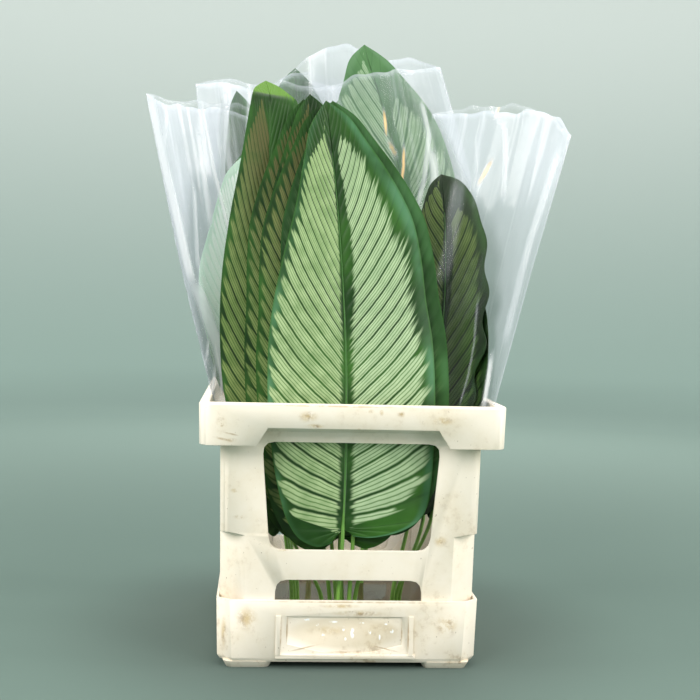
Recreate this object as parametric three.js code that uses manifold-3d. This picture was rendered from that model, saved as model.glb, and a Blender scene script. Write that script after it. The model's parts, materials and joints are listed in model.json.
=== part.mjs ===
// Cut white star calathea leaves standing in a two-piece ivory flower container.
// Millimetres, +Z up. The origin is on the floor under the container's centre and the
// front bunch looks along -Y. The front bunch is bare and four bunches stand behind it
// in clear film sleeves.
import * as THREE from "three";
import { mergeVertices } from "three/addons/utils/BufferGeometryUtils.js";
import Module from "manifold-3d";

const wasm = await Module();
wasm.setup();

// Driving sizes of the container.
const RIM_X = 150;
const RIM_Y = 200;
const RIM_Z = 264;
const RIM_LEDGE = 10;
const RIM_R = 14;
const SKIRT_Z = 222.5;
const BAND_Z = 240;
const BAND_HALF = 83;
const SKIRT_RUN = 11;
const WALL = 3;
const BODY_TOP = { x: 129.5, y: 177, z: 235 };
const FLARE = { out: 13.5, z: 243 };
const BODY_LOW = { x: 127, y: 174.6, z: 68 };
const COLLAR_FOOT_Z = 44.3;
const CORNER_R = 10;
const CORNER_CUT = 24.5;
const CUT_TOP_Z = 135;
const WINDOW = { low: 118.2, high: 224.5, halfLow: 79, halfHigh: 88, r: 12 };
const SLOT = { low: 52, high: 88, halfLow: 73, halfHigh: 72, r: 11 };
const SIDE_WINDOW = { half: 56, centre: 75, r: 7 };
const TUB = { x: 130, y: 177.6, z: 68.6, wall: 2.4, floor: 9, under: 6.2 };
const TUB_CUT = 13;
const TUB_DRAFT = 1.5;
const TUB_BEVEL = { in: 3, up: 4.4 };
const RIB = { y: 96, half: 2.2, low: 12, high: 60, out: 0.9 };
const LABEL = { ridge: 2, ledge: 1.3, root: 1.2, deep: 1.1, low: 14, high: 53 };
const FOOT = { out: 119.2, in: 76.9, slope: 3.6, y: 52 };
const SEAT_Z = 44;
const GUSSET = 40;
const WATER_Z = 38;
const GAP = 0.3;

// Driving sizes of the leaves and the film.
const BLADE_T = 0.9;
const STEM_R = 2.5;
const JOINT_R = 2;
const STEM_FOOT_Z = TUB.floor + GAP;
const MIDRIB_R = 1.15;
const MIDRIB_TAPER = 0.6;
const FILM_T = 0.7;
const FILM_END = 4;

// How much shorter a straight corner cut is on a wall's inner face, in wall thicknesses.
const CUT_LESS = 0.6;
const CORNER_STEPS = 3;
const IVORY = { color: "#efe7d3", roughness: 0.5, metalness: 0 };
const LEAF_GREEN = { color: "#4f8a45", roughness: 0.42, metalness: 0 };
const LEAF_OLIVE = { color: "#5d6f3a", roughness: 0.45, metalness: 0 };
const FILM_CLEAR = { color: "#e6f0f2", roughness: 0.15, metalness: 0, transparent: true, opacity: 0.35 };
const WATER_TINT = { color: "#8fa79a", roughness: 0.08, metalness: 0, transparent: true, opacity: 0.6 };

// A geometry from points and triangles.
function surface(points, triangles) {
  const flat = new Float32Array(points.flat());
  const raw = new THREE.BufferGeometry();
  raw.setAttribute("position", new THREE.BufferAttribute(flat, 3));
  raw.setIndex(triangles.flat());
  return raw;
}

// A closed geometry as a solid that can be joined and cut, its shared points merged.
function solid(geometry) {
  const bare = geometry.clone();
  bare.deleteAttribute("normal");
  bare.deleteAttribute("uv");
  const merged = mergeVertices(bare, 1e-4);
  const index = merged.index.array;
  const kept = [];
  for (let i = 0; i < index.length; i += 3) {
    const [a, b, c] = [index[i], index[i + 1], index[i + 2]];
    if (a !== b && b !== c && c !== a) kept.push(a, b, c);
  }
  return new wasm.Manifold(
    new wasm.Mesh({
      numProp: 3,
      vertProperties: new Float32Array(merged.attributes.position.array),
      triVerts: new Uint32Array(kept),
    }),
  );
}

function geometryOf(body) {
  const mesh = body.getMesh();
  const geometry = new THREE.BufferGeometry();
  geometry.setAttribute("position", new THREE.BufferAttribute(mesh.vertProperties, 3));
  geometry.setIndex(new THREE.BufferAttribute(mesh.triVerts, 1));
  geometry.computeVertexNormals();
  return geometry;
}

function node(name, geometry, finish) {
  const mesh = new THREE.Mesh(geometry, new THREE.MeshStandardMaterial(finish));
  mesh.name = name;
  return mesh;
}

// One rounded or cut rectangle, anticlockwise from above. A station has half sizes x and
// y, a height z and a corner: r for a round one or cut for a straight one.
function outlineAt({ x, y, z, r = 0, cut = 0 }) {
  const points = [];
  const corners = [[1, 1], [-1, 1], [-1, -1], [1, -1]];
  corners.forEach(([sx, sy], quarter) => {
    for (let i = 0; i <= CORNER_STEPS; i++) {
      const f = i / CORNER_STEPS;
      const turn = sx * sy > 0 ? f : 1 - f;
      const a = (turn * Math.PI) / 2;
      const dx = r ? r * (1 - Math.cos(a)) : cut * turn;
      const dy = r ? r * (1 - Math.sin(a)) : cut * (1 - turn);
      points.push([sx * (x - dx), sy * (y - dy), z]);
    }
  });
  return points;
}

// The quads between two loops of equal length, a below or outside b, each split from a's
// corner to b's next one, or the other way.
function band(a, b, count, otherWay = false) {
  const out = [];
  for (let i = 0; i < count; i++) {
    const j = (i + 1) % count;
    if (otherWay) out.push([a + i, a + j, b + i], [a + j, b + j, b + i]);
    else out.push([a + i, a + j, b + j], [a + i, b + j, b + i]);
  }
  return out;
}

// A solid stack of stations, from the lowest up.
function stack(stations) {
  const loops = stations.map(outlineAt);
  const count = loops[0].length;
  const points = loops.flat();
  const triangles = [];
  for (let k = 0; k + 1 < loops.length; k++) {
    triangles.push(...band(k * count, (k + 1) * count, count));
  }
  const top = (loops.length - 1) * count;
  for (let i = 1; i + 1 < count; i++) {
    triangles.push([0, i + 1, i], [top, top + i, top + i + 1]);
  }
  return solid(surface(points, triangles));
}

// A ring whose wall section is a closed run of stations, anticlockwise as seen with the
// outside to the right.
function ring(stations) {
  const loops = stations.map(outlineAt);
  const count = loops[0].length;
  const triangles = [];
  for (let k = 0; k < loops.length; k++) {
    triangles.push(...band(k * count, ((k + 1) % loops.length) * count, count));
  }
  return solid(surface(loops.flat(), triangles));
}

// A plate outline drawn in x and z, pushed from y0 to y1.
function plate(shape, y0, y1) {
  const geometry = new THREE.ExtrudeGeometry(shape, {
    depth: y1 - y0,
    bevelEnabled: false,
    curveSegments: 3,
  });
  geometry.rotateX(Math.PI / 2);
  geometry.translate(0, y1, 0);
  return solid(geometry);
}

function polygon(points) {
  return new THREE.Shape(points.map(([x, z]) => new THREE.Vector2(x, z)));
}

// A window outline with round corners, wider at its top than at its foot.
function windowShape({ low, high, halfLow, halfHigh, r }, centre = 0) {
  const shape = new THREE.Shape();
  const lean = (halfHigh - halfLow) / (high - low);
  shape.moveTo(centre - halfLow + r, low);
  shape.lineTo(centre + halfLow - r, low);
  shape.quadraticCurveTo(centre + halfLow, low, centre + halfLow + lean * r, low + r);
  shape.lineTo(centre + halfHigh - lean * r, high - r);
  shape.quadraticCurveTo(centre + halfHigh, high, centre + halfHigh - r, high);
  shape.lineTo(centre - halfHigh + r, high);
  shape.quadraticCurveTo(centre - halfHigh, high, centre - halfHigh + lean * r, high - r);
  shape.lineTo(centre - halfLow - lean * r, low + r);
  shape.quadraticCurveTo(centre - halfLow, low, centre - halfLow + r, low);
  return shape;
}

function box(x0, x1, y0, y1, z0, z1) {
  const geometry = new THREE.BoxGeometry(x1 - x0, y1 - y0, z1 - z0);
  geometry.translate((x0 + x1) / 2, (y0 + y1) / 2, (z0 + z1) / 2);
  return solid(geometry);
}

const join = (bodies) => bodies.reduce((a, b) => a.add(b));
const quarterTurn = (body) => body.rotate([0, 0, 90]);
const halfTurn = (body) => body.rotate([0, 0, 180]);

// The tub's inside, grown by a clearance: walls with cut corners.
function tubHollow(clear, z0, z1) {
  const x = TUB.x - TUB.wall - clear;
  const y = TUB.y - TUB.wall - clear;
  const cut = TUB_CUT - CUT_LESS * TUB.wall;
  return stack([
    { x: x - TUB_DRAFT, y: y - TUB_DRAFT, z: z0, cut: cut + TUB_DRAFT },
    { x, y, z: z1, cut },
  ]);
}

// Three-cornered gussets in the tub's corners, which the collar's cut corners stand on.
function gussets(grow, z0, z1) {
  const reach = GUSSET + 4 * grow;
  const x = TUB.x - 0.5 * TUB.wall + grow;
  const y = TUB.y - 0.5 * TUB.wall + grow;
  const shape = polygon([[x, y], [x - reach, y], [x, y - reach]]);
  const geometry = new THREE.ExtrudeGeometry(shape, { depth: z1 - z0, bevelEnabled: false });
  geometry.translate(0, 0, z0);
  const one = solid(geometry);
  const other = one.mirror([1, 0, 0]);
  return join([one, other, one.mirror([0, 1, 0]), other.mirror([0, 1, 0])]);
}

function makeTub() {
  const low = { x: TUB.x - TUB_DRAFT, y: TUB.y - TUB_DRAFT };
  const shell = stack([
    { x: low.x - TUB_BEVEL.in, y: low.y - TUB_BEVEL.in, z: TUB.under, cut: TUB_CUT },
    { x: low.x, y: low.y, z: TUB.under + TUB_BEVEL.up, cut: TUB_CUT + TUB_DRAFT },
    { x: TUB.x, y: TUB.y, z: TUB.z, cut: TUB_CUT },
  ]);
  const corners = gussets(0, TUB.floor - 1, SEAT_Z).intersect(shell);
  let tub = shell.subtract(tubHollow(0, TUB.floor, TUB.z + 1)).add(corners);
  const footX = (FOOT.out + FOOT.in) / 2;
  const footHalf = (FOOT.out - FOOT.in) / 2;
  const footY = low.y - 2 - FOOT.y / 2;
  for (const sx of [1, -1]) {
    for (const sy of [1, -1]) {
      const foot = stack([
        { x: footHalf, y: FOOT.y / 2 - FOOT.slope, z: 0, r: 6 },
        { x: footHalf + FOOT.slope, y: FOOT.y / 2, z: TUB.under + 0.6, r: 8 },
      ]);
      tub = tub.add(foot.translate([sx * footX, sy * footY, 0]));
    }
  }
  // The label holder: a shallow pocket between two upright ridges over a low ledge.
  const face = TUB.y - 1;
  const pocket = polygon([
    [-60, 52.5], [-60, 24.7], [-25.5, 16.8], [22.5, 16.8], [53.8, 24], [53.8, 52.5],
  ]);
  const fronts = join([
    box(-71, -66.2, face - LABEL.root, face + LABEL.ridge, LABEL.low, LABEL.high),
    box(60.6, 65, face - LABEL.root, face + LABEL.ridge, LABEL.low, LABEL.high),
    box(-71, 67, face - LABEL.root, face + LABEL.ledge, LABEL.low - 3.4, LABEL.low + 0.6),
  ]);
  const cut = plate(pocket, face - LABEL.deep, TUB.y + 2);
  tub = tub.add(halfTurn(fronts).mirror([1, 0, 0])).add(fronts);
  tub = tub.subtract(cut).subtract(halfTurn(cut).mirror([1, 0, 0]));
  const sideFace = TUB.x - 1;
  for (const y of [-RIB.y, RIB.y]) {
    const reach = [sideFace - LABEL.root, sideFace + RIB.out];
    const rib = box(...reach, y - RIB.half, y + RIB.half, RIB.low, RIB.high);
    tub = tub.add(rib).add(rib.mirror([1, 0, 0]));
  }
  return tub;
}

function makeCollar() {
  const rimIn = RIM_R - RIM_LEDGE;
  const top = BODY_TOP;
  const inTop = { x: top.x - WALL, y: top.y - WALL };
  const low = BODY_LOW;
  const foot = { x: low.x - 0.4, y: low.y - 0.4, z: COLLAR_FOOT_Z, cut: CORNER_CUT };
  const inCut = CORNER_CUT - CUT_LESS * WALL;
  const share = (CUT_TOP_Z - low.z) / (top.z - low.z);
  const midX = low.x + share * (top.x - low.x);
  const midY = low.y + share * (top.y - low.y);
  const body = ring([
    foot,
    { x: low.x, y: low.y, z: low.z, cut: CORNER_CUT },
    { x: midX, y: midY, z: CUT_TOP_Z - 3, cut: CORNER_CUT },
    { x: midX, y: midY, z: CUT_TOP_Z, r: CORNER_R },
    { x: top.x, y: top.y, z: top.z, r: CORNER_R },
    { x: top.x + FLARE.out, y: top.y + FLARE.out, z: FLARE.z, r: CORNER_R },
    { x: top.x + FLARE.out, y: top.y + FLARE.out, z: RIM_Z - WALL, r: CORNER_R },
    { x: RIM_X - 2, y: RIM_Y - 2, z: RIM_Z - WALL, r: RIM_R - 2 },
    { x: RIM_X - 2, y: RIM_Y - 2, z: RIM_Z, r: RIM_R - 2 },
    { x: RIM_X - RIM_LEDGE, y: RIM_Y - RIM_LEDGE, z: RIM_Z, r: rimIn },
    { x: RIM_X - RIM_LEDGE, y: RIM_Y - RIM_LEDGE, z: FLARE.z + 1.5, r: rimIn },
    { x: inTop.x, y: inTop.y, z: top.z + 1.5, r: CORNER_R - WALL },
    { x: midX - WALL, y: midY - WALL, z: CUT_TOP_Z + 3, r: CORNER_R - WALL },
    { x: midX - WALL, y: midY - WALL, z: CUT_TOP_Z, cut: inCut },
    { x: foot.x - WALL, y: foot.y - WALL, z: COLLAR_FOOT_Z, cut: inCut },
  ]);
  const skirt = ring([
    { x: RIM_X - 1, y: RIM_Y - 1, z: SKIRT_Z, r: RIM_R },
    { x: RIM_X, y: RIM_Y, z: RIM_Z - 1.5, r: RIM_R },
    { x: RIM_X - 1.5, y: RIM_Y - 1.5, z: RIM_Z, r: RIM_R - 1 },
    { x: RIM_X - 8, y: RIM_Y - 8, z: RIM_Z, r: RIM_R - 5 },
    { x: RIM_X - 8, y: RIM_Y - 8, z: RIM_Z - WALL, r: RIM_R - 5 },
    { x: RIM_X - WALL, y: RIM_Y - WALL, z: RIM_Z - 6, r: RIM_R - WALL },
    { x: RIM_X - WALL - 1, y: RIM_Y - WALL - 1, z: SKIRT_Z, r: RIM_R - WALL },
  ]);
  const below = SKIRT_Z - 2;
  const raise = (half) => polygon([
    [-half - SKIRT_RUN, below], [half + SKIRT_RUN, below],
    [half + SKIRT_RUN, SKIRT_Z], [half, BAND_Z], [-half, BAND_Z], [-half - SKIRT_RUN, SKIRT_Z],
  ]);
  const front = plate(raise(BAND_HALF), -RIM_Y - 2, -RIM_Y + 6);
  const side = plate(raise(BAND_HALF + RIM_Y - RIM_X), -RIM_X - 2, -RIM_X + 6);
  let collar = skirt
    .subtract(front)
    .subtract(halfTurn(front))
    .subtract(quarterTurn(side))
    .subtract(quarterTurn(quarterTurn(quarterTurn(side))))
    .add(body);
  const through = (shape) => plate(shape, -RIM_Y, RIM_Y);
  collar = collar
    .subtract(through(windowShape(WINDOW)))
    .subtract(through(windowShape(SLOT)));
  const { half, r } = SIDE_WINDOW;
  for (const centre of [-SIDE_WINDOW.centre, SIDE_WINDOW.centre]) {
    const tall = { ...WINDOW, halfLow: half - 5, halfHigh: half, r };
    const short = { ...SLOT, halfLow: half - 4, halfHigh: half - 4, r };
    collar = collar
      .subtract(quarterTurn(through(windowShape(tall, centre))))
      .subtract(quarterTurn(through(windowShape(short, centre))));
  }
  return collar;
}

// The frame that a bunch follows as it rises: straight between its stations, with the
// bends eased over EASE_Z. Each station is height, centre x and y, turn in degrees, half
// width, and how far the front and back sheets stand off the middle.
const EASE_Z = 8;
function station(bunch, z) {
  const list = bunch.stations;
  const at = (height) => {
    const h = Math.min(Math.max(height, list[0][0]), list[list.length - 1][0]);
    let k = 0;
    while (k + 2 < list.length && list[k + 1][0] < h) k++;
    const f = (h - list[k][0]) / (list[k + 1][0] - list[k][0]);
    return list[k].map((value, i) => value + f * (list[k + 1][i] - value));
  };
  const [low, mid, high] = [at(z - EASE_Z), at(z), at(z + EASE_Z)];
  const mean = mid.map((value, i) => (low[i] + 2 * value + high[i]) / 4);
  const [, x, y, turn, half, front, back] = mean;
  return { x, y, turn: THREE.MathUtils.degToRad(turn), half, front, back };
}

// A point of a bunch: s across, n front to back, z up.
function placed(frame, s, n, z) {
  const c = Math.cos(frame.turn);
  const d = Math.sin(frame.turn);
  return [frame.x + s * c - n * d, frame.y + s * d + n * c, z];
}

// How far the sheets stand off at s: full in the middle, nothing at the sealed edges.
const swell = (s, half) => Math.max(0, 1 - (s / half) ** 2);

const BUNCHES = {
  front: { stations: [[0, 0, -160, 0, 400, 0, 0], [700, 0, -160, 0, 400, 0, 0]] },
  left: {
    stations: [
      [48, -50, -72, 30, 14, 9.6, 9.6],
      [110, -56, -66, 30, 42, 9, 22],
      [236, -63, -57, 30, 61, 8, 32],
      [251, -74, -62, 30, 73.5, 8, 34],
      [400, -107, -60, 29, 80, 8, 36],
      [570, -139, -58, 28, 85, 8, 38],
    ],
    top: [570, 565, 566, 567, 566, 560, 552],
  },
  right: {
    stations: [
      [48, 55, -96, -40, 14, 9.6, 9.6],
      [110, 70, -98, -46, 42, 9, 22],
      [236, 79, -97, -50, 63, 7, 32],
      [251, 85, -108, -51, 83.5, 7, 36],
      [400, 115, -106, -43, 84, 6, 38],
      [560, 153, -104, -34, 82, 8, 40],
    ],
    top: [564, 567, 568, 568, 566, 556, 535],
  },
  middle: {
    stations: [
      [48, 30, 52, -4, 14, 9.6, 9.6],
      [110, 42, 54, -4, 50, 22, 22],
      [236, 52, 58, -4, 70, 28, 30],
      [251, 54, 60, -4, 81, 28, 32],
      [400, 43, 58, -4, 101, 30, 34],
      [508, 34, 56, -4, 112, 30, 34],
      [640, 14, 54, -4, 90, 30, 34],
    ],
    top: [614, 642, 660, 656, 642, 645, 632],
  },
  back: {
    stations: [
      [48, -28, 108, 3, 16, 12.6, 12.6],
      [110, -30, 110, 3, 54, 22, 20],
      [236, -32, 114, 3, 78, 28, 24],
      [251, -34, 116, 3, 88, 28, 24],
      [400, -46, 116, 3, 100, 28, 24],
      [620, -62, 118, 3, 114, 28, 26],
    ],
    top: [613, 619, 610, 626, 624, 618, 606],
  },
};

// A run through a short list of heights or widths, u from 0 to 1, as a smooth curve.
function along(list, u) {
  const x = Math.min(Math.max(u, 0), 1) * (list.length - 1);
  const k = Math.min(Math.floor(x), list.length - 2);
  const f = x - k;
  const p = (i) => list[Math.min(Math.max(i, 0), list.length - 1)];
  const [a, b, c, d] = [p(k - 1), p(k), p(k + 1), p(k + 2)];
  return b + 0.5 * f * (c - a + f * (2 * a - 5 * b + 4 * c - d + f * (3 * (b - c) + d - a)));
}

const SHEET_STEPS = 8;
const FILM_ROWS = [48, 110, 180, 236, 251, 320, 400, 480];

// One film sleeve: a front and a back sheet sealed along both edges, open above and below.
function makeSleeve(bunch) {
  const loop = (height, inner) => {
    const out = [];
    const spot = (u, side) => {
      const z = height ?? along(bunch.top, (u + 1) / 2);
      const frame = station(bunch, z);
      const s = u * (frame.half - (inner ? FILM_END : 0));
      const off = swell(s, frame.half);
      const front = -frame.front * off + (inner ? FILM_T : 0);
      const back = frame.back * off - (inner ? FILM_T : 0);
      const n = side === 0 ? (front + back) / 2 : side < 0 ? front : back;
      return placed(frame, s, n, z);
    };
    for (let i = 0; i < SHEET_STEPS; i++) {
      out.push(spot((2 * i) / SHEET_STEPS - 1, i === 0 ? 0 : -1));
    }
    for (let i = 0; i < SHEET_STEPS; i++) {
      out.push(spot(1 - (2 * i) / SHEET_STEPS, i === 0 ? 0 : 1));
    }
    return out;
  };
  const points = [];
  const triangles = [];
  const count = 2 * SHEET_STEPS;
  const heights = [...FILM_ROWS, null];
  for (const height of heights) points.push(...loop(height, false));
  for (const height of [...heights].reverse()) points.push(...loop(height, true));
  const loops = 2 * heights.length;
  for (let k = 0; k < loops; k++) {
    // The inner wall goes down, so it is split the other way to lie along the outer one.
    const inside = k >= heights.length;
    triangles.push(...band(k * count, ((k + 1) % loops) * count, count, inside));
  }
  return solid(surface(points, triangles));
}

// The leaf margin from the stalk's joint round the lobe to the tip, on each side: across
// in half widths, along in blade lengths.
const MARGIN = {
  full: [
    [0.12, -0.014], [0.3, -0.03], [0.5, -0.022], [0.68, 0.004], [0.84, 0.055], [0.93, 0.115],
    [0.985, 0.2], [1, 0.305], [0.98, 0.43], [0.92, 0.53], [0.89, 0.62], [0.83, 0.71],
    [0.72, 0.775], [0.56, 0.843], [0.385, 0.905], [0.22, 0.962], [0, 1],
  ],
  slim: [
    [0.14, -0.022], [0.3, -0.036], [0.46, -0.01], [0.66, 0.05], [0.8, 0.11], [0.9, 0.2],
    [1, 0.305], [0.985, 0.43], [0.9, 0.535], [0.73, 0.65], [0.535, 0.757], [0.34, 0.885],
    [0.23, 0.945], [0, 1],
  ],
  fullLobe: [
    [0.12, -0.016], [0.3, -0.021], [0.5, -0.017], [0.7, -0.006], [0.86, 0.014], [0.94, 0.045],
    [0.98, 0.11], [0.995, 0.2], [1, 0.305], [0.98, 0.43], [0.92, 0.53], [0.89, 0.62],
    [0.83, 0.71], [0.72, 0.775], [0.56, 0.843], [0.385, 0.905], [0.22, 0.962], [0, 1],
  ],
  slimLobe: [
    [0.14, -0.03], [0.3, -0.036], [0.46, -0.026], [0.61, -0.004], [0.76, 0.045], [0.88, 0.125],
    [0.95, 0.2], [1, 0.305], [0.985, 0.43], [0.9, 0.535], [0.73, 0.65], [0.535, 0.757],
    [0.34, 0.885], [0.23, 0.945], [0, 1],
  ],
  blunt: [
    [0.12, -0.014], [0.3, -0.03], [0.5, -0.022], [0.68, 0.004], [0.84, 0.055], [0.93, 0.115],
    [0.985, 0.2], [1, 0.305], [0.99, 0.43], [0.95, 0.53], [0.92, 0.62], [0.88, 0.71],
    [0.81, 0.79], [0.71, 0.86], [0.57, 0.92], [0.36, 0.97], [0, 1],
  ],
};

const FAN_ROWS = 3;
const FIRST_MARGIN = 0.02;
const LAST_RIB = 0.96;

// The height on the margin that the vein from midrib height b runs to.
const veinEnd = (b) => b + (1 - b) * (FIRST_MARGIN + 0.6 * b);

// The margin of one side, as a smooth curve cut into the rows' end points.
function marginRows(points, rows) {
  const fine = 12 * (points.length - 1);
  const curve = [];
  for (let i = 0; i <= fine; i++) {
    const u = i / fine;
    curve.push([0, 1].map((axis) => along(points.map((p) => p[axis]), u)));
  }
  const lowest = curve.reduce((best, p, i) => (p[1] < curve[best][1] ? i : best), 0);
  const atHeight = (b) => {
    let i = lowest;
    while (i + 2 < curve.length && curve[i + 1][1] < b) i++;
    const f = (b - curve[i][1]) / (curve[i + 1][1] - curve[i][1]);
    return i + Math.min(Math.max(f, 0), 1);
  };
  const at = (index) => {
    const i = Math.min(Math.floor(index), curve.length - 2);
    return [0, 1].map((axis) => curve[i][axis] + (index - i) * (curve[i + 1][axis] - curve[i][axis]));
  };
  const turn = atHeight(FIRST_MARGIN);
  const out = [];
  for (let k = 0; k < FAN_ROWS; k++) {
    out.push({ rib: 0, end: at((turn * k) / FAN_ROWS) });
  }
  for (let k = 0; k <= rows; k++) {
    const rib = (LAST_RIB * k) / rows;
    out.push({ rib, end: at(atHeight(veinEnd(rib))) });
  }
  return out;
}

const VEIN_BOW = 1.25;

// A sleeved blade's margins stay within this share of the sleeve's half width, taken as the
// narrowest over this height above and below, and draw in ever harder towards it.
const SLEEVE_REACH = 0.88;
const SLEEVE_LOOK = 22;
const DRAW_POWER = 8;

// The blade as a function of its own frame: across from -1 to 1 and b along, to the
// bunch's s, n and z. A leaf's tip that is bent back turns over a small radius.
function bladePoint(leaf, across, b, depth) {
  const side = across < 0 ? leaf.half[0] : leaf.half[1];
  const bow = leaf.bow * 4 * b * (1 - b);
  const [s0, z0] = leaf.joint;
  const [s1, z1] = leaf.tip;
  const long = Math.hypot(s1 - s0, z1 - z0);
  const ux = (s1 - s0) / long;
  const uz = (z1 - z0) / long;
  const off = across * side + bow;
  let s = s0 + ux * b * long + uz * off;
  let z = z0 + uz * b * long - ux * off;
  const edge = Math.abs(across);
  const wave = leaf.wave * Math.sin(2 * Math.PI * (leaf.waves * b + (across < 0 ? 0.35 : 0)));
  let n = leaf.puff * -4 * edge * (1 - edge) + wave * edge ** 2 + leaf.curl * edge ** 2 + depth;
  if (leaf.fold) {
    // The tip bends back about a line that falls a little to the right.
    const { across: foldS, height, r, turn, tilt } = leaf.fold;
    const run = (s - foldS) * Math.sin(tilt) + (z - height) * Math.cos(tilt);
    if (run > 0) {
      const arc = Math.min(run / r, turn);
      const rest = run - arc * r;
      const rise = (r - depth) * Math.sin(arc) + rest * Math.cos(arc) - run;
      s += rise * Math.sin(tilt);
      z += rise * Math.cos(tilt);
      n += (r - depth) * (1 - Math.cos(arc)) + rest * Math.sin(arc);
    }
  }
  const bunch = BUNCHES[leaf.bunch];
  const frame = station(bunch, z);
  if (leaf.share === undefined) return placed(frame, s, n + leaf.layer, z);
  // Inside a sleeve the blade keeps its share of the room and its margins draw in.
  const near = [z - SLEEVE_LOOK, z, z + SLEEVE_LOOK].map((h) => station(bunch, h).half);
  const limit = SLEEVE_REACH * Math.min(...near);
  const drawn = s / (1 + Math.abs(s / limit) ** DRAW_POWER) ** (1 / DRAW_POWER);
  const room = swell(drawn, frame.half);
  const middle = (leaf.share * (frame.front + frame.back) - frame.front) * room;
  return placed(frame, drawn, middle + depth + (n - depth) * room, z);
}

// One leaf: a thin blade whose rows follow its veins, joined to a stalk that runs on as
// the midrib and stands on the tub's floor.
function makeLeaf(leaf) {
  const rows = leaf.rows;
  const columns = leaf.columns;
  const left = marginRows(MARGIN[leaf.shape[0]], rows);
  const right = marginRows(MARGIN[leaf.shape[1]], rows);
  const wide = 2 * columns + 1;
  const points = [];
  const sheet = (depth) => {
    for (let k = 0; k < left.length; k++) {
      for (let i = -columns; i <= columns; i++) {
        const f = Math.abs(i) / columns;
        const { rib, end } = i < 0 ? left[k] : right[k];
        const b = rib + (end[1] - rib) * f ** VEIN_BOW;
        points.push(bladePoint(leaf, Math.sign(i) * end[0] * f, b, depth));
      }
    }
    points.push(bladePoint(leaf, 0, 1, depth));
  };
  sheet(-BLADE_T / 2);
  sheet(BLADE_T / 2);
  const per = points.length / 2;
  const tip = per - 1;
  const triangles = [];
  const faces = [];
  for (let k = 0; k + 1 < left.length; k++) {
    for (let i = 0; i + 1 < wide; i++) {
      const p = k * wide + i;
      const q = p + wide;
      if (i < columns) faces.push([p, p + 1, q + 1], [p, q + 1, q]);
      else faces.push([p, p + 1, q], [p + 1, q + 1, q]);
    }
  }
  const last = (left.length - 1) * wide;
  for (let i = 0; i + 1 < wide; i++) faces.push([last + i, last + i + 1, tip]);
  for (const [p, q, r] of faces) triangles.push([p, q, r], [p + per, r + per, q + per]);
  const rim = [];
  for (let i = 0; i + 1 < wide; i++) rim.push([i, i + 1]);
  for (let k = 0; k + 1 < left.length; k++) {
    const end = k * wide + wide - 1;
    rim.push([end, end + wide]);
    rim.push([(k + 1) * wide, k * wide]);
  }
  rim.push([last + wide - 1, tip], [tip, last]);
  for (const [p, q] of rim) triangles.push([p, p + per, q + per], [p, q + per, q]);
  return solid(surface(points, triangles)).add(makeStalk(leaf));
}

const STALK_SIDES = 5;
const STALK_STEPS = 4;
const RIB_STEPS = 4;
const RIB_END = 0.8;
const RIB_SINK = 0.3;
const smooth = (t) => t * t * (3 - 2 * t);
const STRAIGHT_Z = WATER_Z + 8;

// The stalk and midrib as one tapered tube: upright out of the water, then leaning to the
// blade's joint and on along the blade's back.
function makeStalk(leaf) {
  const joint = bladePoint(leaf, 0, 0, 0);
  const [fx, fy] = leaf.foot;
  const path = [];
  for (let k = 0; k <= STALK_STEPS; k++) {
    const t = k / STALK_STEPS;
    const z = STEM_FOOT_Z + t * (joint[2] - STEM_FOOT_Z);
    const lean = smooth(Math.max(0, (z - STRAIGHT_Z) / (joint[2] - STRAIGHT_Z)));
    const r = STEM_R + smooth(t) * (JOINT_R - STEM_R);
    path.push([fx + lean * (joint[0] - fx), fy + lean * (joint[1] - fy), z, r]);
  }
  for (let k = 1; k <= RIB_STEPS; k++) {
    const b = (RIB_END * k) / RIB_STEPS;
    const r = MIDRIB_R * (1 - (MIDRIB_TAPER * k) / RIB_STEPS);
    path.push([...bladePoint(leaf, 0, b, r - RIB_SINK), r]);
  }
  const points = [];
  for (const [x, y, z, r] of path) {
    for (let i = 0; i < STALK_SIDES; i++) {
      const a = (2 * Math.PI * (i + 0.5)) / STALK_SIDES;
      points.push([x + r * Math.cos(a), y + r * Math.sin(a), z]);
    }
  }
  const triangles = [];
  for (let k = 0; k + 1 < path.length; k++) {
    triangles.push(...band(k * STALK_SIDES, (k + 1) * STALK_SIDES, STALK_SIDES));
  }
  const top = (path.length - 1) * STALK_SIDES;
  for (let i = 1; i + 1 < STALK_SIDES; i++) {
    triangles.push([0, i + 1, i], [top, top + i, top + i + 1]);
  }
  return solid(surface(points, triangles));
}

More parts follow.
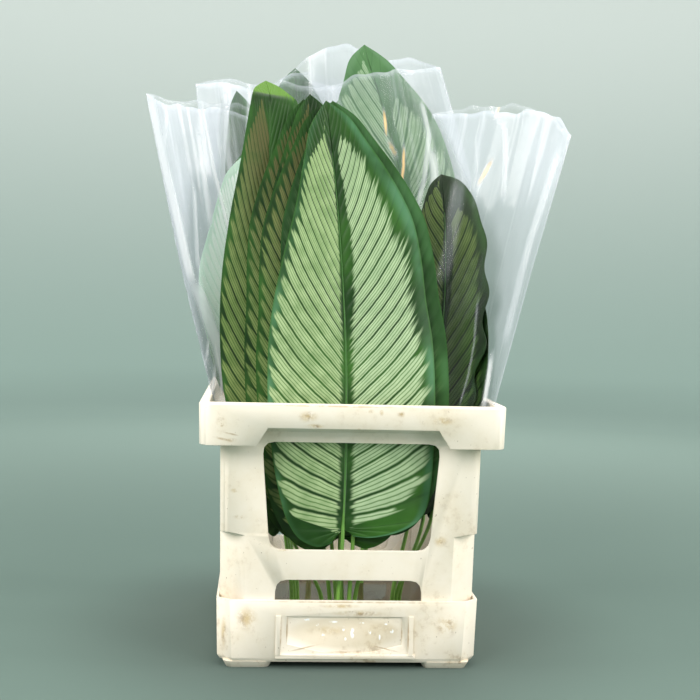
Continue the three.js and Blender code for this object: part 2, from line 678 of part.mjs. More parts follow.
// Every leaf: its bunch, its place front to back (a layer in millimetres in the bare
// bunch, a share of the room in a sleeve), the stalk's joint and the tip as across and
// height, the midrib's bow, the half width on each side, the margin's kind on each side,
// and the stalk's foot.
const EVEN = { bow: 0, puff: 1, wave: 0.8, waves: 2.5, curl: 0 };
const FRONT = { ...EVEN, bunch: "front", rows: 12, columns: 3, finish: LEAF_GREEN };
const SLEEVED = { ...EVEN, layer: 0, rows: 8, columns: 3, finish: LEAF_GREEN };
const both = (kind) => [kind, kind];
const LEAVES = [
  {
    ...FRONT, name: "leaf_front_1", layer: 0, joint: [-6, 136], tip: [-33, 560], bow: 10,
    half: [78, 89], shape: ["slimLobe", "fullLobe"], foot: [-10, -160], puff: 5, curl: 2, wave: 1.2,
  },
  {
    ...FRONT, name: "leaf_front_2", layer: 7, joint: [5, 140], tip: [-26, 561], bow: 12,
    half: [80, 92], shape: both("full"), foot: [2, -153],
  },
  {
    ...FRONT, name: "leaf_front_3", layer: 14, joint: [-8, 126], tip: [-38, 558], bow: -2,
    half: [75, 80], shape: both("full"), foot: [-4, -146],
  },
  {
    ...FRONT, name: "leaf_front_4", layer: 21, joint: [22, 138], tip: [0, 540], bow: 4,
    half: [70, 74], shape: both("full"), foot: [8, -139],
  },
  {
    ...FRONT, name: "leaf_front_5", layer: 28, joint: [-16, 134], tip: [-48, 570], bow: 0,
    half: [60, 76], shape: both("full"), foot: [-9, -132],
  },
  {
    ...FRONT, name: "leaf_front_6", layer: 36, joint: [-24, 132], tip: [-54, 566], bow: -3,
    half: [70, 74], shape: both("full"), foot: [-15, -124],
  },
  {
    ...FRONT, name: "leaf_front_7", layer: 48, joint: [-60, 138], tip: [-88, 622], bow: -7,
    half: [56, 60], shape: ["slim", "full"], foot: [-22, -112], finish: LEAF_OLIVE,
    fold: { across: -90, height: 564, r: 8, turn: 1.14, tilt: 0.14 },
  },
  {
    ...SLEEVED, name: "leaf_left_1", bunch: "left", share: 0.33, joint: [-6, 150],
    tip: [19, 515], bow: -14, half: [78, 60], shape: ["slim", "full"], foot: [-53, -77],
  },
  {
    ...SLEEVED, name: "leaf_left_2", bunch: "left", share: 0.5, joint: [0, 150],
    tip: [32, 490], bow: 4, half: [56, 56], shape: both("slim"), foot: [-50, -72],
  },
  {
    ...SLEEVED, name: "leaf_left_3", bunch: "left", share: 0.7, joint: [5, 155],
    tip: [28, 520], bow: 6, half: [58, 54], shape: both("full"), foot: [-47, -67],
  },
  {
    ...SLEEVED, name: "leaf_right_1", bunch: "right", share: 0.3, joint: [-8, 150],
    tip: [-58, 500], bow: 21, half: [58, 57], shape: both("blunt"), foot: [51, -101],
    finish: LEAF_OLIVE,
  },
  {
    ...SLEEVED, name: "leaf_right_2", bunch: "right", share: 0.5, joint: [18, 150],
    tip: [-44, 420], bow: 12, half: [56, 62], shape: both("full"), foot: [55, -96],
    finish: LEAF_OLIVE,
  },
  {
    ...SLEEVED, name: "leaf_right_3", bunch: "right", share: 0.73, joint: [0, 145],
    tip: [-38, 468], bow: 5, half: [54, 52], shape: both("slim"), foot: [59, -91],
  },
  {
    ...SLEEVED, name: "leaf_middle_1", bunch: "middle", share: 0.27, joint: [10, 210],
    tip: [5, 653], bow: 25, half: [94, 98], shape: both("full"), foot: [30.4, 46],
  },
  {
    ...SLEEVED, name: "leaf_middle_2", bunch: "middle", share: 0.5, joint: [-6, 200],
    tip: [-26, 596], bow: 0, half: [74, 76], shape: both("full"), foot: [30, 52],
  },
  {
    ...SLEEVED, name: "leaf_middle_3", bunch: "middle", share: 0.73, joint: [4, 205],
    tip: [20, 606], bow: 6, half: [78, 74], shape: both("slim"), foot: [29.6, 58],
  },
  {
    ...SLEEVED, name: "leaf_back_1", bunch: "back", share: 0.27, joint: [-20, 190],
    tip: [-66, 606], bow: 2, half: [50, 52], shape: both("full"), foot: [-27.5, 99],
  },
  {
    ...SLEEVED, name: "leaf_back_2", bunch: "back", share: 0.44, joint: [6, 195],
    tip: [4, 636], bow: 4, half: [76, 80], shape: both("full"), foot: [-27.8, 105],
  },
  {
    ...SLEEVED, name: "leaf_back_3", bunch: "back", share: 0.6, joint: [16, 195],
    tip: [42, 592], bow: 0, half: [70, 66], shape: both("slim"), foot: [-28.2, 111],
  },
  {
    ...SLEEVED, name: "leaf_back_4", bunch: "back", share: 0.76, joint: [-4, 185],
    tip: [-22, 604], bow: -4, half: [80, 78], shape: both("full"), foot: [-28.5, 117],
  },
];

// The water in the tub, clear of its walls and corners, with a plain hole for each stalk.
const HOLE_R = STEM_R + 0.7;
const HOLE_SIDES = 6;
function makeWater() {
  const room = tubHollow(GAP, TUB.floor, TUB.z + 1);
  const slab = box(-RIM_X, RIM_X, -RIM_Y, RIM_Y, TUB.floor + GAP, WATER_Z);
  let water = room.intersect(slab).subtract(gussets(2 * GAP, 0, TUB.z));
  for (const { foot: [x, y] } of LEAVES) {
    const hole = new THREE.CylinderGeometry(HOLE_R, HOLE_R, 2 * WATER_Z, HOLE_SIDES);
    hole.rotateX(Math.PI / 2);
    hole.translate(x, y, 0);
    water = water.subtract(solid(hole));
  }
  return water;
}

const container = new THREE.Group();
container.add(node("water_tub", geometryOf(makeTub()), IVORY));
container.add(node("window_collar", geometryOf(makeCollar()), IVORY));
container.add(node("water", geometryOf(makeWater()), WATER_TINT));

const bunches = new THREE.Group();
for (const leaf of LEAVES) {
  bunches.add(node(leaf.name, geometryOf(makeLeaf(leaf)), leaf.finish));
}
for (const [name, bunch] of Object.entries(BUNCHES)) {
  if (bunch.top) bunches.add(node("sleeve_" + name, geometryOf(makeSleeve(bunch)), FILM_CLEAR));
}

const part = new THREE.Group();
part.add(container, bunches);
export default part;
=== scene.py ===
import json
import math

import bpy
import numpy as np
from mathutils import Matrix, Vector

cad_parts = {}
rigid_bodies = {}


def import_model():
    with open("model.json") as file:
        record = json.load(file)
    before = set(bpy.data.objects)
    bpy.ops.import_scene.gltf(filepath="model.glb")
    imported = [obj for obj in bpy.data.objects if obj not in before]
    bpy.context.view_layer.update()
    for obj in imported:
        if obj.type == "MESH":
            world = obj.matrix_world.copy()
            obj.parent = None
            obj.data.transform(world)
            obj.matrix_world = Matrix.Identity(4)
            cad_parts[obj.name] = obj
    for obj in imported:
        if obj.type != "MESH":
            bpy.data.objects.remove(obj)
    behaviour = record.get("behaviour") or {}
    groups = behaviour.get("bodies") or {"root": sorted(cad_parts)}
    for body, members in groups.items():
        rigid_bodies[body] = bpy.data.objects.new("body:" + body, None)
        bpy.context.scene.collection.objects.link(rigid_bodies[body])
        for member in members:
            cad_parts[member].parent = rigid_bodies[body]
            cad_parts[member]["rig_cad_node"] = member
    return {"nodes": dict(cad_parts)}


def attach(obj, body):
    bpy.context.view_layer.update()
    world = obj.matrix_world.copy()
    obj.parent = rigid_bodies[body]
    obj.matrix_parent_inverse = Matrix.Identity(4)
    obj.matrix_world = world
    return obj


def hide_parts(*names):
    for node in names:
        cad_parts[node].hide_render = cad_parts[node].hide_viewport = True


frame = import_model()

bpy.ops.object.select_all(action="DESELECT")
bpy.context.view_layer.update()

# Lengths below are millimetres, as in the frame, and MM brings them to metres.
MM = 0.001

# The veins of a blade: the first few fan out from the stalk's joint, the rest leave the midrib.
VEINS = 34
FEW_VEINS = 18
FAN_SHARE = 0.09
FINE_GRID = (44, 170)
PLAIN_GRID = (24, 102)
FILM_GRID = (264, 110)
FINE_LINES = 4
FIRST_MARGIN = 0.02
# How far up the blade a vein climbs on its way to the margin, by where it leaves the midrib.
VEIN_RISE = [
    (0, 0.02), (0.1, 0.13), (0.25, 0.21), (0.4, 0.25), (0.55, 0.25), (0.7, 0.21), (0.85, 0.122), (1, 0),
]
MIDRIB_CROWDING = 1.3

BLADE_T = 0.6
QUILT = 0.55
STALK_R = 2.5
JOINT_R = 2.0
MIDRIB_R = 1.15
MIDRIB_SINK = 0.3
STALK_FOOT_Z = 9.3
WATER_Z = 38
EASE_Z = 8
FOLDED_FROM_Y = -108
FOLDED_OVER = 4
SLEEVE_REACH = 0.88
SLEEVE_LOOK = 22
DRAW_POWER = 8
RIPPLES = 40
RIPPLE_START = 2.07
LEFT_WAVE_START = 0.35
STALK_SIDES = 10
STALK_STEPS = 13
MIDRIB_STEPS = 14

MARGIN = {
    "full": [
        (0.12, -0.014), (0.3, -0.03), (0.5, -0.022), (0.68, 0.004), (0.84, 0.055), (0.93, 0.115),
        (0.985, 0.2), (1, 0.305), (0.98, 0.43), (0.92, 0.53), (0.89, 0.62), (0.83, 0.71),
        (0.72, 0.775), (0.56, 0.843), (0.385, 0.905), (0.22, 0.962), (0, 1),
    ],
    "slim": [
        (0.14, -0.022), (0.3, -0.036), (0.46, -0.01), (0.66, 0.05), (0.8, 0.11), (0.9, 0.2),
        (1, 0.305), (0.985, 0.43), (0.9, 0.535), (0.73, 0.65), (0.535, 0.757), (0.34, 0.885),
        (0.23, 0.945), (0, 1),
    ],
    "full lobe": [
        (0.12, -0.016), (0.3, -0.021), (0.5, -0.017), (0.7, -0.006), (0.86, 0.014), (0.94, 0.045),
        (0.98, 0.11), (0.995, 0.2), (1, 0.305), (0.98, 0.43), (0.92, 0.53), (0.89, 0.62),
        (0.83, 0.71), (0.72, 0.775), (0.56, 0.843), (0.385, 0.905), (0.22, 0.962), (0, 1),
    ],
    "slim lobe": [
        (0.14, -0.03), (0.3, -0.036), (0.46, -0.026), (0.61, -0.004), (0.76, 0.045),
        (0.88, 0.125), (0.95, 0.2), (1, 0.305), (0.985, 0.43), (0.9, 0.535), (0.73, 0.65),
        (0.535, 0.757), (0.34, 0.885), (0.23, 0.945), (0, 1),
    ],
    "blunt": [
        (0.12, -0.014), (0.3, -0.03), (0.5, -0.022), (0.68, 0.004), (0.84, 0.055), (0.93, 0.115),
        (0.985, 0.2), (1, 0.305), (0.99, 0.43), (0.95, 0.53), (0.92, 0.62), (0.88, 0.71),
        (0.81, 0.79), (0.71, 0.86), (0.57, 0.92), (0.36, 0.97), (0, 1),
    ],
}

# Each station of a bunch: height, middle x and y, turn in degrees, half width, and how far
# the front and back of its sleeve stand off the middle. The haze of a sleeve is that of its
# front and back, and it thins out on one side of a line of places across and up.
BUNCHES = {
    "front": {"stations": [(0, 0, -160, 0, 400, 0, 0), (700, 0, -160, 0, 400, 0, 0)]},
    "left": {
        "stations": [
            (48, -50, -72, 30, 14, 9.6, 9.6), (110, -56, -66, 30, 42, 9, 22),
            (236, -63, -57, 30, 61, 8, 32), (251, -74, -62, 30, 73.5, 8, 34),
            (400, -107, -60, 29, 80, 8, 36), (570, -139, -58, 28, 85, 8, 38),
        ],
        "top": (570, 565, 566, 567, 566, 560, 552),
        "haze": (0.1, 0.68),
        "clear": (1, [(0.0, 487), (0.08, 520), (0.18, 560)]),
    },
    "right": {
        "stations": [
            (48, 55, -96, -40, 14, 9.6, 9.6), (110, 70, -98, -46, 42, 9, 22),
            (236, 79, -97, -50, 63, 7, 32), (251, 85, -108, -51, 83.5, 7, 36),
            (400, 115, -106, -43, 84, 6, 38), (560, 153, -104, -34, 82, 8, 40),
        ],
        "top": (564, 567, 568, 568, 566, 556, 535),
        "haze": (0.0, 0.5),
        "clear": (-1, [(-0.38, 482), (-0.54, 504), (-0.76, 536), (-0.95, 566)]),
    },
    "middle": {
        "stations": [
            (48, 30, 52, -4, 14, 9.6, 9.6), (110, 42, 54, -4, 50, 22, 22),
            (236, 52, 58, -4, 70, 28, 30), (251, 54, 60, -4, 81, 28, 32),
            (400, 43, 58, -4, 101, 30, 34), (508, 34, 56, -4, 112, 30, 34),
            (640, 14, 54, -4, 90, 30, 34),
        ],
        "top": (614, 642, 660, 656, 642, 645, 632),
        "front_top": (614, 603, 606, 617, 622, 626, 632),
        "haze": (0.14, 0.38),
        "clear": (-1, [(-0.63, 570), (-0.63, 620)]),
    },
    "back": {
        "stations": [
            (48, -28, 108, 3, 16, 12.6, 12.6), (110, -30, 110, 3, 54, 22, 20),
            (236, -32, 114, 3, 78, 28, 24), (251, -34, 116, 3, 88, 28, 24),
            (400, -46, 116, 3, 100, 28, 24), (620, -62, 118, 3, 114, 28, 26),
        ],
        "top": (613, 619, 610, 626, 624, 618, 606),
        "haze": (0.12, 0.5),
    },
}

# Folds pressed into the front of a sleeve: points as share across and height, from the top
# down, then half width in mm and how white the fold's painted highlight is.
FOLDS = {
    "left": [
        ([(-0.96, 568), (-0.95, 503), (-0.92, 444), (-0.9, 380)], 4.5, 0.8),
        ([(-0.78, 555), (-0.9, 520), (-0.96, 498)], 2.5, 0.5),
        ([(-0.33, 560), (-0.32, 496), (-0.27, 452), (-0.25, 434)], 2, 0.9),
        ([(-0.44, 536), (-0.46, 495), (-0.48, 452), (-0.49, 438)], 3.4, 0.55),
        ([(-0.62, 476), (-0.74, 412), (-0.78, 392)], 2.4, 0.5),
        ([(-0.86, 378), (-0.81, 350), (-0.78, 330), (-0.74, 313), (-0.76, 287)], 7, 0.6),
        ([(-0.98, 266), (-0.91, 281), (-0.86, 292)], 1.5, 0.9),
        ([(-1.0, 293), (-0.92, 307), (-0.85, 322)], 1.6, 0.6),
        ([(-0.86, 262), (-0.8, 284), (-0.78, 320)], 1.6, 0.8),
    ],
    "right": [
        ([(-0.11, 566), (0.13, 542), (0.25, 511), (0.37, 470)], 3, 0.65),
        ([(-0.21, 560), (-0.21, 533), (0.0, 470)], 4, 0.35),
        ([(0.78, 312), (0.86, 262)], 2.5, 1.0),
        ([(0.38, 366), (0.49, 322), (0.52, 292), (0.51, 262)], 1.2, 0.45),
        ([(0.9, 520), (0.86, 430), (0.9, 330)], 4, 0.5),
        ([(-0.35, 492), (-0.27, 452), (-0.22, 421), (-0.23, 390)], 9, 0.3),
    ],
    "middle": [
        ([(0.65, 590), (0.65, 553), (0.54, 519), (0.44, 473)], 3, 0.6),
        ([(0.64, 536), (0.6, 491), (0.54, 470)], 5.5, 0.6),
        ([(-0.35, 600), (-0.2, 540), (-0.25, 470)], 4, 0.3),
    ],
    "back": [
        ([(-0.44, 611), (-0.5, 560), (-0.46, 480)], 3, 0.5),
        ([(-0.7, 603), (-0.74, 540), (-0.7, 450)], 4, 0.5),
    ],
}

# Slim warm glints on the front of a sleeve, given as the folds are.
GLINTS = {
    "middle": [
        ([(0.19, 574), (0.18, 552)], 1.6, 0.9), ([(0.34, 534), (0.25, 487)], 1.6, 0.8),
        ([(0.2, 540), (0.24, 530)], 3.5, 0.7), ([(-0.32, 562), (-0.3, 548)], 1.8, 0.7),
    ],
    "right": [([(0.06, 512), (-0.02, 488)], 3, 0.6), ([(0.0, 568), (-0.03, 558)], 2, 0.6)],
}


def leaf(name, place, joint, tip, bow, half, foot, shape=("full", "full"), **more):
    """One leaf's sizes; place is a layer of the bare bunch or a share of a sleeve's room."""
    made = {"puff": 1, "wave": 0.8, "waves": 2.5, "curl": 0, "fine": False, "finish": "green"}
    made.update(name=name, bunch=name.split("_")[0], place=place, joint=joint, tip=tip)
    made.update(veins=VEINS, bare=(0.9, 0.83))
    made.update(bow=bow, half=half, foot=foot, shape=shape, **more)
    return made


SLIM = ("slim", "slim")
LEFT_SLIM = ("slim", "full")
BLUNT = ("blunt", "blunt")
LEAVES = [
    leaf("front_1", 0, (-6, 136), (-33, 560), 10, (78, 89), (-10, -160),
         ("slim lobe", "full lobe"), puff=5, curl=2, wave=1.2, fine=True, bare=(0.84, 0.86)),
    leaf("front_2", 7, (5, 140), (-26, 561), 12, (80, 92), (2, -153), fine=True, finish="plain"),
    leaf("front_3", 14, (-8, 126), (-38, 558), -2, (75, 80), (-4, -146), fine=True, finish="browner_and_shaded"),
    leaf("front_4", 21, (22, 138), (0, 540), 4, (70, 74), (8, -139), fine=True, finish="plain"),
    leaf("front_5", 28, (-16, 134), (-48, 570), 0, (60, 76), (-9, -132), fine=True, finish="browner_and_shaded"),
    leaf("front_6", 36, (-24, 132), (-54, 566), -3, (70, 74), (-15, -124), fine=True,
         finish="browner_and_shaded"),
    leaf("front_7", 48, (-60, 138), (-88, 622), -7, (56, 60), (-22, -112), LEFT_SLIM, fine=True,
         finish="browner_and_shaded", fold=(-90, 564, 8, 1.14, 0.14), bare=(0.8, 0.73)),
    # left_1 is painted pale mint: painted glare of the film over it, and painted light for the dim
    # inside of its sleeve.
    leaf("left_1", 0.33, (-6, 150), (19, 515), -14, (78, 60), (-53, -77), LEFT_SLIM, fine=True,
         finish="painted_glare"),
    leaf("left_2", 0.5, (0, 150), (32, 490), 4, (56, 56), (-50, -72), SLIM),
    leaf("left_3", 0.7, (5, 155), (28, 520), 6, (58, 54), (-47, -67)),
    leaf("right_1", 0.3, (-8, 150), (-58, 500), 21, (58, 57), (51, -101), BLUNT, fine=True,
         finish="olive", ripple=0.09, veins=FEW_VEINS),
    leaf("right_2", 0.5, (18, 150), (-44, 420), 12, (56, 62), (55, -96), fine=True, finish="olive",
         veins=FEW_VEINS),
    leaf("right_3", 0.73, (0, 145), (-38, 468), 5, (54, 52), (59, -91), SLIM, finish="olive",
         veins=FEW_VEINS),
    leaf("middle_1", 0.27, (10, 210), (5, 653), 25, (94, 98), (30.4, 46), fine=True,
         finish="veiled", bare=(0.88, 0.81), veins=FEW_VEINS),
    leaf("middle_2", 0.5, (-6, 200), (-26, 596), 0, (74, 76), (30, 52)),
    leaf("middle_3", 0.73, (4, 205), (20, 606), 6, (78, 74), (29.6, 58), SLIM),
    leaf("back_1", 0.27, (-20, 190), (-66, 606), 2, (50, 52), (-27.5, 99), finish="plain"),
    leaf("back_2", 0.44, (6, 195), (4, 636), 4, (76, 80), (-27.8, 105), finish="plain"),
    leaf("back_3", 0.6, (16, 195), (42, 592), 0, (70, 66), (-28.2, 111), SLIM),
    leaf("back_4", 0.76, (-4, 185), (-22, 604), -4, (80, 78), (-28.5, 117)),
]


# Forms of the bunches, the blades and the film.


def smooth(t):
    """An even rise from 0 to 1 as t goes from 0 to 1."""
    t = np.clip(t, 0, 1)
    return t * t * (3 - 2 * t)


def run_through(values, u):
    """A smooth curve through a short list of values, with u from 0 to 1."""
    values = np.asarray(values, float)
    last = len(values) - 1
    x = np.clip(u, 0, 1) * last
    k = np.minimum(x.astype(int), last - 1)
    f = x - k
    a, b, c, d = (values[np.clip(k + i, 0, last)] for i in (-1, 0, 1, 2))
    return b + 0.5 * f * (c - a + f * (2 * a - 5 * b + 4 * c - d + f * (3 * (b - c) + d - a)))


def station(bunch, z):
    """Middle x and y, turn, half width and the film's front and back at heights z."""
    rows = np.array(BUNCHES[bunch]["stations"], float)

    def at(height):
        return np.stack([np.interp(height, rows[:, 0], rows[:, k]) for k in range(1, 7)])

    x, y, turn, half, front, back = (at(z - EASE_Z) + 2 * at(z) + at(z + EASE_Z)) / 4
    return x, y, np.radians(turn), half, front, back


def placed(here, s, n, z):
    """Points of a bunch: s across, n front to back, z up."""
    x, y, turn = here[:3]
    c, d = np.cos(turn), np.sin(turn)
    return np.stack([x + s * c - n * d, y + s * d + n * c, z], -1)


def swell(s, half):
    """How far a sleeve's sheets stand apart at s: full in the middle, nothing at the seams."""
    return np.maximum(0, 1 - (s / half) ** 2)


def vein_ends(kind, t):
    """Where the vein a share t of the way up leaves the midrib and meets the margin."""
    points = np.array(MARGIN[kind], float)
    u = np.linspace(0, 1, 12 * (len(points) - 1) + 1)
    across = run_through(points[:, 0], u)
    along = run_through(points[:, 1], u)
    spots = np.arange(len(u))
    lowest = int(np.argmin(along))

    def spot_at(b):
        return np.interp(b, along[lowest:], spots[lowest:])

    rib = np.clip((t - FAN_SHARE) / (1 - FAN_SHARE), 0, 1)
    top = rib + np.interp(rib, *zip(*VEIN_RISE))
    spot = np.where(t < FAN_SHARE, spot_at(FIRST_MARGIN) * t / FAN_SHARE, spot_at(top))
    return rib, np.interp(spot, spots, across), np.interp(spot, spots, along)


def blade_points(leaf, across, b, depth):
    """Points of a blade: across from -1 to 1, b along it, and depth behind its middle."""
    edge = np.abs(across)
    left = across < 0
    side = np.where(left, leaf["half"][0], leaf["half"][1])
    (s0, z0), (s1, z1) = leaf["joint"], leaf["tip"]
    long = math.hypot(s1 - s0, z1 - z0)
    us, uz = (s1 - s0) / long, (z1 - z0) / long
    ripple = 1 + leaf.get("ripple", 0) * edge**4 * np.sin(RIPPLES * b + RIPPLE_START)
    off = across * side * ripple + leaf["bow"] * 4 * b * (1 - b)
    s = s0 + us * b * long + uz * off
    z = z0 + uz * b * long - us * off
    wave = leaf["wave"] * np.sin(2 * math.pi * (leaf["waves"] * b + np.where(left, LEFT_WAVE_START, 0)))
    n = leaf["puff"] * -4 * edge * (1 - edge) + (wave + leaf["curl"]) * edge**2 + depth
    if "fold" in leaf:
        fold_s, fold_z, fold_r, fold_turn, tilt = leaf["fold"]
        run = np.maximum((s - fold_s) * math.sin(tilt) + (z - fold_z) * math.cos(tilt), 0)
        arc = np.minimum(run / fold_r, fold_turn)
        rest = run - arc * fold_r
        rise = (fold_r - depth) * np.sin(arc) + rest * np.cos(arc) - run
        s = s + rise * math.sin(tilt)
        z = z + rise * math.cos(tilt)
        n = n + (fold_r - depth) * (1 - np.cos(arc)) + rest * np.sin(arc)
    here = station(leaf["bunch"], z)
    if leaf["bunch"] == "front":
        return placed(here, s, n + leaf["place"], z)
    near = [station(leaf["bunch"], z + look)[3] for look in (-SLEEVE_LOOK, 0, SLEEVE_LOOK)]
    limit = SLEEVE_REACH * np.min(near, axis=0)
    drawn = s / (1 + np.abs(s / limit) ** DRAW_POWER) ** (1 / DRAW_POWER)
    half, front, back = here[3:]
    room = swell(drawn, half)
    middle = (leaf["place"] * (front + back) - front) * room
    return placed(here, drawn, middle + depth + (n - depth) * room, z)


def film_points(bunch, u, z, side, lift):
    """Points of a sleeve: u across from seam to seam, side -1 for its front and 1 for its back."""
    here = station(bunch, z)
    half, front, back = here[3:]
    off = swell(u, 1)
    n = np.where(side < 0, -front, back) * off + side * lift
    return placed(here, u * half, n, z)


# Making of pieces.


def finish_piece(piece, name, *finishes):
    """Names a piece, gives it its finishes and leaves it alone and deselected."""
    piece.name = name
    piece.data.name = name
    for finish in finishes:
        piece.data.materials.append(finish)
    bpy.ops.object.select_all(action="DESELECT")
    return piece


def only(piece):
    bpy.ops.object.select_all(action="DESELECT")
    piece.select_set(True)
    bpy.context.view_layer.objects.active = piece


def sheet_of(across_steps, up_steps):
    """A flat grid to be shaped, with its own coordinates across and up from -1 to 1."""
    bpy.ops.mesh.primitive_grid_add(
        x_subdivisions=across_steps, y_subdivisions=up_steps, size=2, location=(0, 0, 0)
    )
    piece = bpy.context.active_object
    flat = np.empty(len(piece.data.vertices) * 3)
    piece.data.vertices.foreach_get("co", flat)
    flat = flat.reshape(-1, 3)
    return piece, flat[:, 0], flat[:, 1]


def shape(piece, points):
    """Puts the vertices of a piece at points in millimetres."""
    piece.data.vertices.foreach_set("co", (points * MM).ravel())
    piece.data.update()


def map_surface(piece, name, across, up):
    """A surface map of the piece from one value across and one up for each vertex."""
    layer = piece.data.uv_layers.active
    layer.name = name
    corners = np.empty(len(piece.data.loops), int)
    piece.data.loops.foreach_get("vertex_index", corners)
    layer.data.foreach_set("uv", np.stack([across, up], -1)[corners].ravel())


def keep_value(piece, name, values):
    """One number for each vertex, which a finish reads."""
    layer = piece.data.attributes.new(name, "FLOAT", "POINT")
    layer.data.foreach_set("value", np.asarray(values, np.float32))


def weld(piece, gap=1e-5):
    """Merges the vertices of a piece that lie on each other."""
    only(piece)
    bpy.ops.object.mode_set(mode="EDIT")
    bpy.ops.mesh.select_all(action="SELECT")
    bpy.ops.mesh.remove_doubles(threshold=gap)
    bpy.ops.object.mode_set(mode="OBJECT")


def stripe_ends(leaf, across, b):
    """Where across the blade the pale stripes begin and end, by side and height."""
    left = across < 0
    tip = smooth((b - np.where(left, *leaf["bare"])) / 0.1)
    start = np.where(left, 0.02, 0.03 + 0.2 * smooth((b - 0.4) / 0.4))
    start = start + 0.03 * smooth((0.12 - b) / 0.12) + 0.6 * tip
    stop = np.where(left, 1.0, 1.02 - 0.07 * smooth((b - 0.25) / 0.3))
    foot = np.where(left, 0.12, 0.3) * smooth((0.13 - b) / 0.13) + 0.6 * smooth((0.045 - b) / 0.05)
    stop = stop - foot - 0.3 * tip
    return start, stop, np.where(left, 0.035, 0.12)


def make_blade(leaf):
    """A blade quilted between its veins, from a grid whose rows follow them."""
    piece, grid_across, grid_up = sheet_of(*(FINE_GRID if leaf["fine"] else PLAIN_GRID))
    f = np.abs(grid_across) ** MIDRIB_CROWDING
    t = (grid_up + 1) / 2
    ends = [vein_ends(kind, t) for kind in leaf["shape"]]
    left = grid_across < 0
    rib, end_across, end_along = (np.where(left, *pair) for pair in zip(*ends))
    across = np.sign(grid_across) * end_across * f
    b = rib + (end_along - rib) * (0.8 * f + 0.2 * f**4)
    vein = t * leaf["veins"]
    phase = vein - np.floor(vein + 1e-6)
    plump = np.sin(math.pi * phase) * smooth(f / 0.08) * smooth((1 - f) / 0.12)
    plump = plump * (1 - 0.75 * smooth((b - 0.55) / 0.35))
    groove = 1.1 * np.exp(-((f / 0.03) ** 2))
    points = blade_points(leaf, across, b, -BLADE_T / 2 - QUILT * plump + groove)
    shape(piece, points)
    map_surface(piece, "vein_map", (np.sign(grid_across) * f + 1) / 2, t)
    stripes = stripe_ends(leaf, grid_across, b)
    for value, numbers in zip(("stripe_start", "stripe_stop", "fray"), stripes):
        keep_value(piece, value, numbers)
    keep_value(piece, "young", smooth((points[:, 1] - FOLDED_FROM_Y) / FOLDED_OVER) * ("fold" in leaf))
    weld(piece)
    wall = piece.modifiers.new("blade thickness", "SOLIDIFY")
    wall.thickness = BLADE_T * MM
    wall.offset = -1
    wall.material_offset = 1
    wall.material_offset_rim = 0
    bpy.ops.object.modifier_apply(modifier=wall.name)
    bpy.ops.object.shade_smooth_by_angle(angle=math.radians(60))
    return piece


def make_stalk(leaf):
    """The stalk and midrib: a disc extruded step by step, up to the joint and on up the back."""
    joint = blade_points(leaf, np.zeros(1), np.zeros(1), np.zeros(1))[0]
    straight_z = WATER_Z + 8
    path = []
    for t in np.linspace(0, 1, STALK_STEPS):
        z = STALK_FOOT_Z + t * (joint[2] - STALK_FOOT_Z)
        lean = smooth((z - straight_z) / (joint[2] - straight_z))
        x = leaf["foot"][0] + lean * (joint[0] - leaf["foot"][0])
        y = leaf["foot"][1] + lean * (joint[1] - leaf["foot"][1])
        path.append(((x, y, z), STALK_R + smooth(t) * (JOINT_R - STALK_R)))
    for b in np.linspace(0.04, 0.88, MIDRIB_STEPS):
        r = MIDRIB_R * (1 - 0.6 * min(b / 0.8, 1)) * (1 - 0.5 * smooth((b - 0.8) / 0.08))
        point = blade_points(leaf, np.zeros(1), np.array([b]), np.array([r - MIDRIB_SINK]))[0]
        path.append((tuple(point), r))
    (x, y, z), r = path[0]
    bpy.ops.mesh.primitive_circle_add(
        vertices=STALK_SIDES, radius=r * MM, fill_type="NGON", location=(x * MM, y * MM, z * MM)
    )
    piece = bpy.context.active_object
    bpy.ops.object.transform_apply(location=True, rotation=False, scale=False)
    bpy.ops.object.mode_set(mode="EDIT")
    bpy.ops.mesh.select_all(action="SELECT")
    for (low, low_r), (high, high_r) in zip(path, path[1:]):
        step = [(top - foot) * MM for top, foot in zip(high, low)]
        bpy.ops.mesh.extrude_region_move(TRANSFORM_OT_translate={"value": step})
        grow = high_r / low_r
        middle = [value * MM for value in high]
        bpy.ops.transform.resize(value=(grow, grow, 1), center_override=middle)
    bpy.ops.mesh.select_all(action="SELECT")
    bpy.ops.mesh.normals_make_consistent(inside=False)
    bpy.ops.object.mode_set(mode="OBJECT")
    bpy.ops.object.shade_smooth_by_angle(angle=math.radians(50))
    return piece


def make_leaf(leaf):
    """A leaf: blade, stalk and midrib as one piece, which stands for the frame's leaf."""
    top, under = LEAF_FINISHES[leaf["finish"]]
    blade = make_blade(leaf)
    finish_piece(blade, "striped_leaf_" + leaf["name"], top, under)
    stalk = make_stalk(leaf)
    stalk.data.materials.append(STALK_FINISH)
    blade.select_set(True)
    bpy.context.view_layer.objects.active = blade
    bpy.ops.object.join()
    bpy.ops.object.select_all(action="DESELECT")
    node = "leaf_" + leaf["name"]
    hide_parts(node)
    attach(blade, "root")


def folds_at(folds, bunch, u, z):
    """How strongly a fold or glint of the sleeve's front shows at each point, from 0 to 1."""
    half = station(bunch, z)[3]
    most = np.zeros_like(z)
    for points, wide, white in folds.get(bunch, []):
        course = np.array(sorted(points, key=lambda point: point[1]), float)
        off = np.abs(u - np.interp(z, course[:, 1], course[:, 0])) * half
        ends = smooth((z - course[0, 1] + 12) / 24) * smooth((course[-1, 1] + 12 - z) / 24)
        most = np.maximum(most, white * ends * np.exp(-((off / wide) ** 4)))
    return most


def thinned(bunch, u, z):
    """How much less hazy a sleeve is on its clear side, where other bunches stand behind it."""
    if "clear" not in BUNCHES[bunch]:
        return 0
    towards, line = BUNCHES[bunch]["clear"]
    places, heights = zip(*line)
    past = towards * (u - np.interp(z, heights, places))
    return 0.85 * smooth((past + 0.04) / 0.1)


